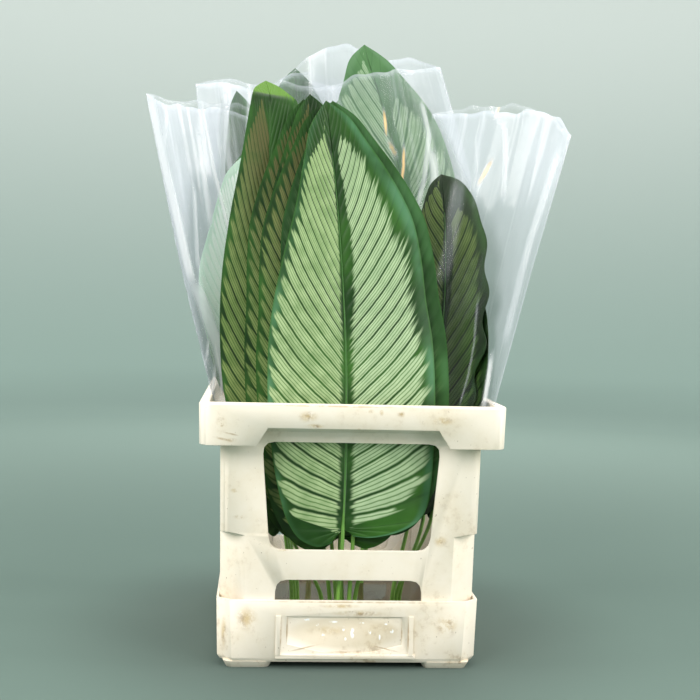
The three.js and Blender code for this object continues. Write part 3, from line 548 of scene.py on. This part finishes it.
def make_sleeve(bunch):
    """A film sleeve: one sheet wrapped round from seam to seam, with flutes and a crinkled top."""
    piece, grid_across, grid_up = sheet_of(*FILM_GRID)
    t = (grid_across + 1) / 2
    side = np.where(t < 0.5, -1.0, 1.0)
    u = np.where(t < 0.5, 4 * t - 1, 3 - 4 * t)
    low = BUNCHES[bunch]["stations"][0][0]
    back_top = BUNCHES[bunch]["top"]
    front_top = BUNCHES[bunch].get("front_top", back_top)
    high = np.where(side < 0, *[run_through(top, (u + 1) / 2) for top in (front_top, back_top)])
    seed = 3 * sorted(BUNCHES).index(bunch)
    crinkle = 1.6 * np.sin(11 * u + seed) + 0.9 * np.sin(23 * u * side + 2 * seed)
    up = (grid_up + 1) / 2
    z = low + up * (high + crinkle * swell(u, 1) - low)
    flute = np.sin(9 * u + seed + 0.006 * z) + 0.5 * np.sin(21 * u - seed - 0.009 * z)
    gathered = 0.6 + 1.0 * smooth((300 - z) / 250) + 1.2 * smooth(up * 3 - 2)
    pressed = np.where(side < 0, folds_at(FOLDS, bunch, u, z), 0)
    lift = (np.maximum(flute, -0.4) * gathered + 1.6 * pressed) * swell(u, 1)
    shape(piece, film_points(bunch, u, z, side, lift))
    keep_value(piece, "fold", pressed)
    keep_value(piece, "warm", np.where(side < 0, folds_at(GLINTS, bunch, u, z), 0))
    map_surface(piece, "film_map", t, up)
    haze = np.where(side < 0, *BUNCHES[bunch]["haze"])
    keep_value(piece, "haze", haze * (1 - thinned(bunch, u, z)))
    weld(piece)
    bpy.ops.object.shade_smooth()
    finish_piece(piece, "film_sleeve_" + bunch, FILM_FINISH)
    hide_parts("sleeve_" + bunch)
    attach(piece, "root")


# Finishes.


def paint(red, green, blue):
    """A colour as seen, in 0 to 255, as the light that a shader takes."""
    values = [value / 255 for value in (red, green, blue)]
    return (*[v / 12.92 if v <= 0.04045 else ((v + 0.055) / 1.055) ** 2.4 for v in values], 1)


class Finish:
    """A material whose nodes are added one after another."""

    def __init__(self, name):
        self.material = bpy.data.materials.new(name)
        self.material.use_nodes = True
        self.nodes = self.material.node_tree.nodes
        self.links = self.material.node_tree.links
        self.surface = self.nodes["Principled BSDF"]

    def feed(self, value, socket):
        if isinstance(value, bpy.types.NodeSocket):
            self.links.new(value, socket)
        else:
            socket.default_value = value

    def math(self, operation, first, second=0.0, clamp=False):
        node = self.nodes.new("ShaderNodeMath")
        node.operation = operation
        node.use_clamp = clamp
        self.feed(first, node.inputs[0])
        self.feed(second, node.inputs[1])
        return node.outputs[0]

    def ramp(self, value, low, high, at_low=0.0, at_high=1.0):
        """An even rise between two values of a pattern."""
        node = self.nodes.new("ShaderNodeMapRange")
        node.interpolation_type = "SMOOTHSTEP"
        for name, given in (
            ("Value", value), ("From Min", low), ("From Max", high),
            ("To Min", at_low), ("To Max", at_high),
        ):
            self.feed(given, node.inputs[name])
        return node.outputs["Result"]

    def mix(self, share, first, second):
        node = self.nodes.new("ShaderNodeMix")
        node.data_type = "RGBA"
        self.feed(share, node.inputs[0])
        self.feed(first, node.inputs[6])
        self.feed(second, node.inputs[7])
        return node.outputs[2]

    def place(self):
        return self.nodes.new("ShaderNodeTexCoord").outputs["Object"]

    def stretch(self, vector, x, y, z):
        node = self.nodes.new("ShaderNodeMapping")
        node.inputs["Scale"].default_value = (x, y, z)
        self.links.new(vector, node.inputs["Vector"])
        return node.outputs["Vector"]

    def framed(self, middle, turn, half):
        """How far out a place lies in an ellipse's own frame: 1 on its edge."""
        node = self.nodes.new("ShaderNodeMapping")
        node.vector_type = "TEXTURE"
        node.inputs["Location"].default_value = middle
        node.inputs["Rotation"].default_value = (0, turn, 0)
        node.inputs["Scale"].default_value = half
        self.links.new(self.place(), node.inputs["Vector"])
        return self.length(node.outputs["Vector"])

    def length(self, vector):
        node = self.nodes.new("ShaderNodeVectorMath")
        node.operation = "LENGTH"
        self.links.new(vector, node.inputs[0])
        return node.outputs["Value"]

    def grain(self, vector, scale, detail=2.0, roughness=0.5):
        node = self.nodes.new("ShaderNodeTexNoise")
        self.links.new(vector, node.inputs["Vector"])
        node.inputs["Scale"].default_value = scale
        node.inputs["Detail"].default_value = detail
        node.inputs["Roughness"].default_value = roughness
        return node.outputs["Fac"]

    def surface_map(self, name):
        node = self.nodes.new("ShaderNodeUVMap")
        node.uv_map = name
        return node.outputs["UV"]

    def parts_of(self, vector):
        node = self.nodes.new("ShaderNodeSeparateXYZ")
        self.links.new(vector, node.inputs[0])
        return node.outputs

    def kept(self, name):
        node = self.nodes.new("ShaderNodeAttribute")
        node.attribute_name = name
        return node.outputs["Fac"]

    def scatter(self, value):
        node = self.nodes.new("ShaderNodeTexWhiteNoise")
        node.noise_dimensions = "1D"
        self.links.new(value, node.inputs["W"])
        return node.outputs["Value"]

    def relief(self, height, depth_mm, strength=1.0):
        node = self.nodes.new("ShaderNodeBump")
        node.inputs["Strength"].default_value = strength
        node.inputs["Distance"].default_value = depth_mm * MM
        self.links.new(height, node.inputs["Height"])
        self.links.new(node.outputs["Normal"], self.surface.inputs["Normal"])

    def surface_from(self, values):
        """Gives the shader its inputs: a number, a colour or a pattern for each name."""
        for name, value in values.items():
            self.feed(value, self.surface.inputs[name])


def vein_pattern(finish, veins):
    """Place across, share out and up, gaps to the vein and the fine line, and a number a line."""
    across, along = finish.parts_of(finish.surface_map("vein_map"))[:2]
    edge = finish.math("ABSOLUTE", finish.math("SUBTRACT", finish.math("MULTIPLY", across, 2.0), 1.0))
    wander = finish.math("MULTIPLY", finish.grain(finish.place(), 45.0), 0.16)
    count = finish.math("ADD", finish.math("MULTIPLY", along, float(veins)), wander)
    phase = finish.math("FRACT", count)
    vein_gap = finish.math("PINGPONG", phase, 0.5)
    fine = finish.math("MULTIPLY", count, float(FINE_LINES))
    line_gap = finish.math("PINGPONG", finish.math("FRACT", fine), 0.5)
    ray = finish.scatter(finish.math("FLOOR", fine))
    return across, edge, along, vein_gap, line_gap, ray


def leaf_top(
    name, dark, bright, low_stripe, high_stripe, sheen, strength=1.0, veins=VEINS, foot=None,
    right_stripe=None,
):
    """The upper face: dark green with feathered pale stripes between its veins."""
    finish = Finish(name)
    place = finish.place()
    across, edge, along, vein_gap, line_gap, ray = vein_pattern(finish, veins)
    start = finish.math("ADD", finish.kept("stripe_start"), finish.math("MULTIPLY", ray, 0.05))
    fray = finish.kept("fray")
    stop = finish.math("SUBTRACT", finish.kept("stripe_stop"), finish.math("MULTIPLY", ray, fray))
    inner = finish.ramp(edge, start, finish.math("ADD", start, 0.06))
    outer = finish.ramp(edge, finish.math("SUBTRACT", stop, fray), stop, 1.0, 0.0)
    widening = finish.ramp(edge, finish.math("SUBTRACT", stop, 0.13), stop, 0.035, 0.22)
    between = finish.ramp(vein_gap, widening, finish.math("ADD", widening, 0.11))
    pale = finish.math("MULTIPLY", finish.math("MULTIPLY", inner, outer), between)
    pale = finish.math("MULTIPLY", pale, strength)
    patches = finish.grain(place, 14.0, 3.0)
    stripe = finish.mix(finish.ramp(along, 0.35, 0.75), low_stripe, high_stripe)
    clouded = finish.ramp(finish.grain(place, 60.0, 4.0), 0.35, 0.7, 0.0, 0.35)
    stripe = finish.mix(clouded, stripe, bright)
    if right_stripe:
        stripe = finish.mix(finish.ramp(across, 0.46, 0.6, 0.0, 0.4), stripe, right_stripe)
    line = finish.ramp(line_gap, 0.05, 0.24, 0.72, 0.0)
    stripe = finish.mix(line, stripe, bright)
    ground = finish.mix(finish.ramp(patches, 0.35, 0.7), dark, bright)
    ground = finish.mix(finish.ramp(vein_gap, 0.0, 0.12, 0.4, 0.0), ground, dark)
    # Painted sheen: patches near the margin turn to the sheen colour, a painted reflection of the
    # leaf's gloss.
    rim = finish.ramp(edge, 0.86, 0.97)
    painted_margin_sheen = finish.ramp(patches, 0.42, 0.62, 0.1, 0.65)
    painted_margin_sheen = finish.math("MULTIPLY", rim, painted_margin_sheen)
    ground = finish.mix(painted_margin_sheen, ground, sheen)
    colour = finish.mix(pale, ground, stripe)
    colour = finish.mix(finish.ramp(edge, 0.975, 1.0, 0.0, 0.55), colour, bright)
    rib = finish.math(
        "MULTIPLY", finish.ramp(edge, 0.006, 0.02, 1.0, 0.0), finish.ramp(along, 0.3, 0.75, 0.6, 0.1)
    )
    colour = finish.mix(rib, colour, MIDRIB_GREEN)
    # The folded-over part of the tip turns a lighter yellow-green.
    colour = finish.mix(finish.kept("young"), colour, FOLDED_TIP_GREEN)
    if foot:
        colour = finish.mix(finish.ramp(along, 0.24, 0.44, 0.8, 0.0), colour, foot)
    gloss = finish.ramp(patches, 0.3, 0.7, 0.38, 0.5)
    shine = finish.ramp(finish.kept("young"), 0.0, 1.0, 0.3, 0.05)
    finish.surface_from({"Base Color": colour, "Roughness": gloss, "Specular IOR Level": shine})
    finish.relief(finish.ramp(vein_gap, 0.0, 0.3), 0.3, 0.4)
    return finish.material


def leaf_under(name, ground, vein, blush):
    """The matt underside: a muted ground with veins in a lighter tone."""
    finish = Finish(name)
    place = finish.place()
    vein_gap, line_gap = vein_pattern(finish, VEINS)[3:5]
    tone = finish.mix(finish.ramp(finish.grain(place, 12.0, 3.0), 0.35, 0.65), ground, blush)
    tone = finish.mix(finish.ramp(vein_gap, 0.02, 0.1, 0.5, 0.0), tone, vein)
    tone = finish.mix(finish.ramp(line_gap, 0.02, 0.15, 0.2, 0.0), tone, vein)
    tone = finish.mix(finish.kept("young"), tone, FOLDED_TIP_GREEN)
    finish.surface_from({"Base Color": tone, "Roughness": 0.62, "Specular IOR Level": 0.35})
    finish.relief(finish.ramp(vein_gap, 0.0, 0.18, 1.0, 0.0), 0.35, 0.5)
    return finish.material


def stalk_green():
    finish = Finish("stalk_green")
    place = finish.place()
    height = finish.parts_of(place)[2]
    tone = finish.mix(finish.ramp(height, 0.08, 0.2), paint(128, 178, 78), paint(74, 122, 58))
    streaks = finish.grain(finish.stretch(place, 900, 900, 30), 1.0, 3.0)
    tone = finish.mix(finish.ramp(streaks, 0.4, 0.65, 0.0, 0.35), tone, paint(48, 92, 40))
    finish.surface_from({"Base Color": tone, "Roughness": 0.4})
    finish.relief(streaks, 0.15, 0.4)
    return finish.material


# Tan scuffs and spots of the container: x, z and half size across and up, on the front face.
SCUFFS = [
    (-45, 252, 13, 7), (-128, 243, 7, 11), (-119, 228, 9, 3), (16, 258, 4, 3), (26, 257, 3, 4),
    (45, 256, 5, 5), (-38, 243, 12, 3), (5, 240, 3, 2), (-114, 176, 6, 3), (-108, 150, 9, 3),
    (90, 128, 9, 7), (-66, 118, 8, 2.5), (-100, 50, 14, 16), (98, 44, 15, 15), (10, 56, 34, 4),
    (-20, 38, 26, 7), (32, 40, 20, 8), (-122, 34, 4, 22), (86, 250, 16, 6), (-8, 63, 26, 3),
]

# Thin tan lines of dirt along the label holder, and a line of painted shade with dirt along
# the tub's top edge: as the scuffs, with a slope in degrees.
DIRT_AND_SHADE_LINES = [
    (-60, 38, 1.1, 17, 0), (-42.7, 20.8, 20, 1, 13), (-1.5, 16.8, 28, 1, 0), (38, 20.4, 18, 1, -13),
    (53.8, 38, 1.1, 16, 0), (-66, 34, 0.9, 20, 0), (60.4, 34, 0.9, 20, 0), (0, 67, 124, 1.1, 0),
    # The line at height 67, along the tub's top edge, is painted shade with dirt.
    (-20, 262.5, 110, 1.3, 0), (-126, 229, 12, 1.6, -12), (-118, 234, 9, 1.2, -12),
]

# White flecks of torn paper in the label holder: x, z and half size.
FLECKS = [
    (5, 36, 2.6, 6.5), (-4, 40, 1.6, 3), (22, 37, 1.8, 3.6), (44, 38, 2.4, 2.6), (-24, 33, 2, 3.2),
    (32, 32, 1.2, 3.6), (-40, 49, 4, 1.4), (-14, 47, 5, 1.3), (14, 46, 3, 1.2), (-30, 44, 1.6, 1.8),
    (-2, 30, 1.4, 2), (38, 45, 2, 1.1),
]

# Greyish painted shade and stain inside the label holder: an ellipse's middle, turn and half size.
LABEL_SHADE_AND_STAIN = ((-3 * MM, 0, 36 * MM), 0, (60 * MM, 100, 17 * MM))


def ivory_plastic():
    """Aged ivory plastic: satin, mottled, with tan dirt in soft scuffs and hard small specks."""
    finish = Finish("ivory_plastic")
    place = finish.place()
    y, z = finish.parts_of(place)[1:]
    mottle = finish.grain(place, 22.0, 5.0, 0.6)
    dust = finish.grain(place, 120.0, 4.0, 0.65)
    colour = finish.mix(finish.ramp(mottle, 0.35, 0.7), paint(241, 232, 218), paint(234, 223, 204))
    dirt = finish.ramp(finish.math("MULTIPLY", mottle, dust), 0.27, 0.42, 0.0, 0.5)
    low = finish.ramp(z, 0.0, 0.075, 1.0, 0.35)
    dirt = finish.math("MULTIPLY", dirt, low)
    front = finish.ramp(y, -0.12, -0.1, 1.0, 0.0)

    def spots(places, low):
        most = 0.0
        for cx, cz, half_x, half_z, *slope in places:
            turn = -math.radians(slope[0]) if slope else 0
            own = finish.framed((cx * MM, 0, cz * MM), turn, (half_x * MM, 100, half_z * MM))
            most = finish.math("MAXIMUM", most, finish.ramp(own, low, 1.0, 1.0, 0.0))
        return most

    marks = spots(SCUFFS, 0.0)
    lines = finish.math("MULTIPLY", spots(DIRT_AND_SHADE_LINES, 0.2), front)
    lines = finish.math("MULTIPLY", lines, finish.ramp(dust, 0.35, 0.55, 0.25, 0.9))
    ragged = finish.ramp(finish.grain(place, 75.0, 5.0, 0.75), 0.39, 0.58)
    marks = finish.math("MULTIPLY", finish.math("MULTIPLY", marks, ragged), front)
    tan = finish.mix(finish.ramp(dust, 0.45, 0.65), paint(205, 182, 138), paint(150, 118, 74))
    colour = finish.mix(finish.math("MAXIMUM", dirt, finish.math("MULTIPLY", marks, 0.9)), colour, tan)
    # Inside the label holder: painted shade of the recess, with a stain.
    holder = finish.ramp(finish.framed(*LABEL_SHADE_AND_STAIN), 0.75, 1.05, 0.5, 0.0)
    colour = finish.mix(finish.math("MULTIPLY", holder, front), colour, paint(206, 192, 164))
    specks = finish.ramp(finish.grain(place, 310.0, 2.0), 0.73, 0.77, 0.0, 0.55)
    colour = finish.mix(specks, colour, paint(120, 92, 58))
    # Tan lines: dirt, and painted shade along the tub's top edge.
    colour = finish.mix(finish.math("MULTIPLY", lines, 0.75), colour, paint(176, 146, 102))
    torn = finish.ramp(finish.grain(place, 260.0, 3.0), 0.4, 0.5)
    torn = finish.math("MULTIPLY", torn, finish.math("MULTIPLY", spots(FLECKS, 0.5), front))
    colour = finish.mix(torn, colour, paint(252, 253, 255))
    finish.surface_from({"Base Color": colour, "Roughness": finish.ramp(mottle, 0.3, 0.7, 0.36, 0.52)})
    finish.relief(finish.math("ADD", mottle, finish.math("MULTIPLY", dust, 0.3)), 0.35, 0.35)
    return finish.material


def clear_film():
    """Clear film, a little milky, with long fine streaks of painted highlight that follow it up."""
    finish = Finish("clear_film")
    film_map = finish.surface_map("film_map")
    up = finish.parts_of(film_map)[1]
    long_streaks = finish.grain(finish.stretch(film_map, 26, 1.6, 1), 1.0, 3.0, 0.6)
    fine_streaks = finish.grain(finish.stretch(film_map, 110, 2.6, 1), 1.0, 2.0, 0.6)
    clouds = finish.grain(finish.place(), 9.0, 2.0)
    haze = finish.kept("haze")
    share = finish.ramp(haze, 0.0, 0.3, 0.3, 1.0)
    broad = finish.math("MULTIPLY", finish.ramp(long_streaks, 0.55, 0.75, 0.0, 0.25), share)
    thin = finish.math("MULTIPLY", finish.ramp(fine_streaks, 0.72, 0.78, 0.0, 0.4), share)
    soft = finish.math("MULTIPLY", finish.ramp(clouds, 0.35, 0.65, -0.08, 0.08), share)
    lip = finish.ramp(up, 0.985, 1.0, 0.0, 0.25)
    fold = finish.math("MULTIPLY", finish.kept("fold"), 0.6)
    inside = finish.ramp(finish.parts_of(finish.place())[2], 0.2, 0.3, 0.25, 1.0)
    cover = finish.math("ADD", finish.math("ADD", haze, soft), finish.math("ADD", broad, thin))
    warm = finish.kept("warm")
    extra = finish.math("ADD", finish.math("ADD", lip, fold), warm)
    cover = finish.math("ADD", finish.math("MULTIPLY", cover, inside), extra, clamp=True)
    # Painted highlights: the streaks and folds are painted whiter, and the glints a warm tone.
    tone = finish.math("ADD", finish.math("ADD", broad, thin), fold, clamp=True)
    tone = finish.mix(tone, paint(214, 221, 232), paint(254, 254, 255))
    tone = finish.mix(finish.ramp(warm, 0.1, 0.5), tone, paint(250, 212, 160))
    finish.surface_from({"Base Color": tone, "Roughness": 0.12, "Alpha": cover, "IOR": 1.5})
    finish.relief(long_streaks, 0.6, 0.5)
    return finish.material


def still_water():
    finish = Finish("still_water")
    ripples = finish.grain(finish.place(), 18.0, 2.0)
    # The water's dark brown is painted shade of the tub's inside.
    tone = finish.mix(finish.ramp(ripples, 0.3, 0.7), paint(112, 96, 68), paint(84, 74, 52))
    finish.surface_from({"Base Color": tone, "Roughness": 0.05, "Alpha": 0.7, "IOR": 1.33})
    finish.relief(ripples, 0.8, 0.4)
    return finish.material


DEEP = paint(24, 58, 16)
MID_GREEN = paint(54, 102, 32)
MIDRIB_GREEN = paint(150, 182, 140)
FOLDED_TIP_GREEN = paint(84, 126, 38)
BLUE_SHEEN = paint(84, 134, 102)
PALE = paint(168, 189, 142)
UNDER = leaf_under("leaf_underside", paint(96, 88, 84), paint(140, 152, 112), paint(88, 106, 76))
LEAF_FINISHES = {
    "green": (
        leaf_top("striped_leaf", DEEP, MID_GREEN, PALE, paint(160, 183, 130), BLUE_SHEEN,
                 right_stripe=paint(186, 208, 178)),
        UNDER,
    ),
    "plain": (
        leaf_top("plain_leaf", DEEP, paint(42, 88, 28), PALE, PALE, paint(66, 110, 66), 0.06), UNDER,
    ),
    # A darker, browner copy of the striped leaf for leaves further back in the front bunch: browner
    # stripes, and darker colours that are painted shade.
    "browner_and_shaded": (
        leaf_top("browner_and_shaded_leaf", paint(16, 44, 10), paint(40, 84, 22), paint(124, 142, 84),
                 paint(100, 92, 56), paint(48, 96, 32)),
        UNDER,
    ),
    "olive": (
        leaf_top("olive_leaf", paint(10, 30, 10), paint(26, 56, 18), paint(72, 102, 50),
                 paint(102, 122, 66), paint(46, 84, 36), 0.9, FEW_VEINS),
        UNDER,
    ),
    "veiled": (
        leaf_top("veiled_leaf", paint(58, 98, 58), paint(82, 124, 78), paint(190, 212, 184),
                 paint(184, 206, 176), paint(98, 136, 98), 0.52, FEW_VEINS),
        UNDER,
    ),
    # Painted glare: pale mint colours stand for the film's reflection over the leaf and lighten it
    # inside its sleeve; its foot stays darker green.
    "painted_glare": (
        leaf_top("painted_glare_leaf", paint(168, 204, 180), paint(190, 224, 204), paint(186, 206, 188),
                 paint(242, 250, 246), paint(206, 232, 216), 0.9, foot=paint(70, 96, 66)),
        UNDER,
    ),
}
STALK_FINISH = stalk_green()
FILM_FINISH = clear_film()
IVORY_FINISH = ivory_plastic()
WATER_FINISH = still_water()


def soften_container(node, name, radius):
    """The frame's moulding with its edges rounded, in its place."""
    source = frame["nodes"][node]
    only(source)
    bpy.ops.object.duplicate()
    piece = bpy.context.active_object
    del piece["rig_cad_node"]
    piece.data.materials.clear()
    bpy.ops.object.mode_set(mode="EDIT")
    bpy.ops.mesh.select_all(action="SELECT")
    bpy.ops.mesh.remove_doubles(threshold=2e-6)
    bpy.ops.mesh.dissolve_limited(angle_limit=math.radians(1.5))
    bpy.ops.object.mode_set(mode="OBJECT")
    rounding = piece.modifiers.new("soft edges", "BEVEL")
    rounding.width = radius * MM
    rounding.segments = 2
    rounding.limit_method = "ANGLE"
    rounding.angle_limit = math.radians(28)
    rounding.harden_normals = True
    bpy.ops.object.modifier_apply(modifier=rounding.name)
    bpy.ops.object.shade_smooth_by_angle(angle=math.radians(32))
    finish_piece(piece, name, IVORY_FINISH)
    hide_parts(node)
    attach(piece, "root")


soften_container("water_tub", "ivory_tub", 0.9)
soften_container("window_collar", "ivory_collar", 1.1)
for given in LEAVES:
    make_leaf(given)
for bunch in ("left", "right", "middle", "back"):
    make_sleeve(bunch)

water = frame["nodes"]["water"]
water.data.materials.clear()
water.data.materials.append(WATER_FINISH)


# Stage: a pale round floor that curves up into a backdrop, with painted shadow and glow, soft lights
# and the camera.


def make_stage():
    flat_reach = 2.4
    bpy.ops.mesh.primitive_circle_add(
        vertices=96, radius=flat_reach, fill_type="NGON", location=(0, 0, 0)
    )
    floor = bpy.context.active_object
    bpy.ops.object.mode_set(mode="EDIT")
    bpy.ops.mesh.select_all(action="SELECT")
    steps = 12
    bend = 2.4
    reach = flat_reach
    bpy.ops.mesh.inset(thickness=0.001, use_boundary=True)
    bpy.ops.mesh.select_all(action="SELECT")
    bpy.ops.mesh.region_to_loop()
    for k in range(1, steps + 1):
        low, high = (math.radians(90) * (k + i) / steps for i in (-1, 0))
        rise = bend * (math.cos(low) - math.cos(high))
        wide = (flat_reach + bend * math.sin(high)) / reach
        reach *= wide
        bpy.ops.mesh.extrude_region_move(TRANSFORM_OT_translate={"value": (0, 0, rise)})
        bpy.ops.transform.resize(value=(wide, wide, 1), center_override=(0, 0, 0))
    bpy.ops.mesh.extrude_region_move(TRANSFORM_OT_translate={"value": (0, 0, 2.0)})
    bpy.ops.object.mode_set(mode="OBJECT")
    bpy.ops.object.shade_smooth()
    finish = Finish("pale_floor")
    height = finish.parts_of(finish.place())[2]
    reach = finish.length(finish.stretch(finish.place(), 1, 1, 0))
    # Painted light and shade: the floor is painted darker near the object and lighter far out and up
    # the backdrop, evening out how the lights fall.
    near, far = paint(74, 98, 90), paint(122, 144, 136)
    low, high = paint(139, 163, 154), paint(205, 211, 207)
    tone = finish.mix(finish.ramp(reach, 0.35, 2.4), near, far)
    # Painted shadow: a dark soft ellipse on the floor under the object.
    under = finish.length(finish.stretch(finish.place(), 1, 0.8, 0))
    tone = finish.mix(finish.ramp(under, 0.14, 0.36, 0.5, 0.0), tone, paint(30, 46, 42))
    tone = finish.mix(finish.ramp(height, 0.0, 0.12), tone, low)
    tone = finish.mix(finish.ramp(height, -0.4, 1.9), tone, high)
    # Painted light: the backdrop glows more with height and distance.
    glow = finish.ramp(height, 0.0, 1.9, 0.12, 0.34)
    glow = finish.math("MULTIPLY", finish.ramp(reach, 1.2, 3.2), glow)
    finish.surface_from({
        "Base Color": tone, "Roughness": 0.9, "Specular IOR Level": 0.1,
        "Emission Color": tone, "Emission Strength": glow,
    })
    finish_piece(floor, "pale_floor", finish.material)


def softbox(name, place, size, power):
    """A wide soft light that faces the middle of the object."""
    bpy.ops.object.light_add(type="AREA", location=place)
    light = bpy.context.active_object
    light.name = name
    light.data.shape = "RECTANGLE"
    light.data.size, light.data.size_y = size
    light.data.energy = power
    light.data.color = (1, 0.945, 0.905)
    aim = Vector((0, 0, 0.3)) - light.location
    light.rotation_euler = aim.to_track_quat("-Z", "Y").to_euler()


make_stage()
softbox("key_left", (-1.3, -1.7, 1.5), (1.2, 1.2), 34)
softbox("fill_right", (1.5, -1.6, 1.1), (1.0, 1.4), 27)
softbox("edge_left", (-1.9, -0.25, 1.0), (0.8, 1.2), 26)
softbox("edge_right", (1.9, -0.25, 1.0), (0.8, 1.2), 26)
softbox("top", (0, 0.2, 2.4), (1.6, 1.6), 18)
softbox("behind", (0.3, 2.2, 1.4), (1.6, 1.0), 18)
world = bpy.data.worlds.new("studio")
world.use_nodes = True
world.node_tree.nodes["Background"].inputs["Color"].default_value = (0.95, 0.98, 1.0, 1)
world.node_tree.nodes["Background"].inputs["Strength"].default_value = 0.8
bpy.context.scene.world = world
bpy.context.scene.view_settings.view_transform = "Standard"

# The camera stands left of the object's middle and a little above its rim.
CAMERA_AT = Vector((-93, -1479, 371.2)) * MM
CAMERA_YAW, CAMERA_PITCH, CAMERA_ROLL = (math.radians(value) for value in (3.89, 2.42, 1.4))
LENS = 68.65


def make_camera():
    bpy.ops.object.camera_add()
    camera = bpy.context.active_object
    level = math.cos(CAMERA_PITCH)
    sideways, forward = math.sin(CAMERA_YAW), math.cos(CAMERA_YAW)
    ahead = Vector((sideways * level, forward * level, -math.sin(CAMERA_PITCH)))
    flat_right = Vector((forward, -sideways, 0))
    flat_up = flat_right.cross(ahead)
    right = flat_right * math.cos(CAMERA_ROLL) + flat_up * math.sin(CAMERA_ROLL)
    up = flat_up * math.cos(CAMERA_ROLL) - flat_right * math.sin(CAMERA_ROLL)
    turned = Matrix((right, up, -ahead)).transposed().to_4x4()
    camera.matrix_world = Matrix.Translation(CAMERA_AT) @ turned
    camera.data.sensor_width = 36
    camera.data.lens = LENS
    bpy.context.scene.camera = camera


make_camera()
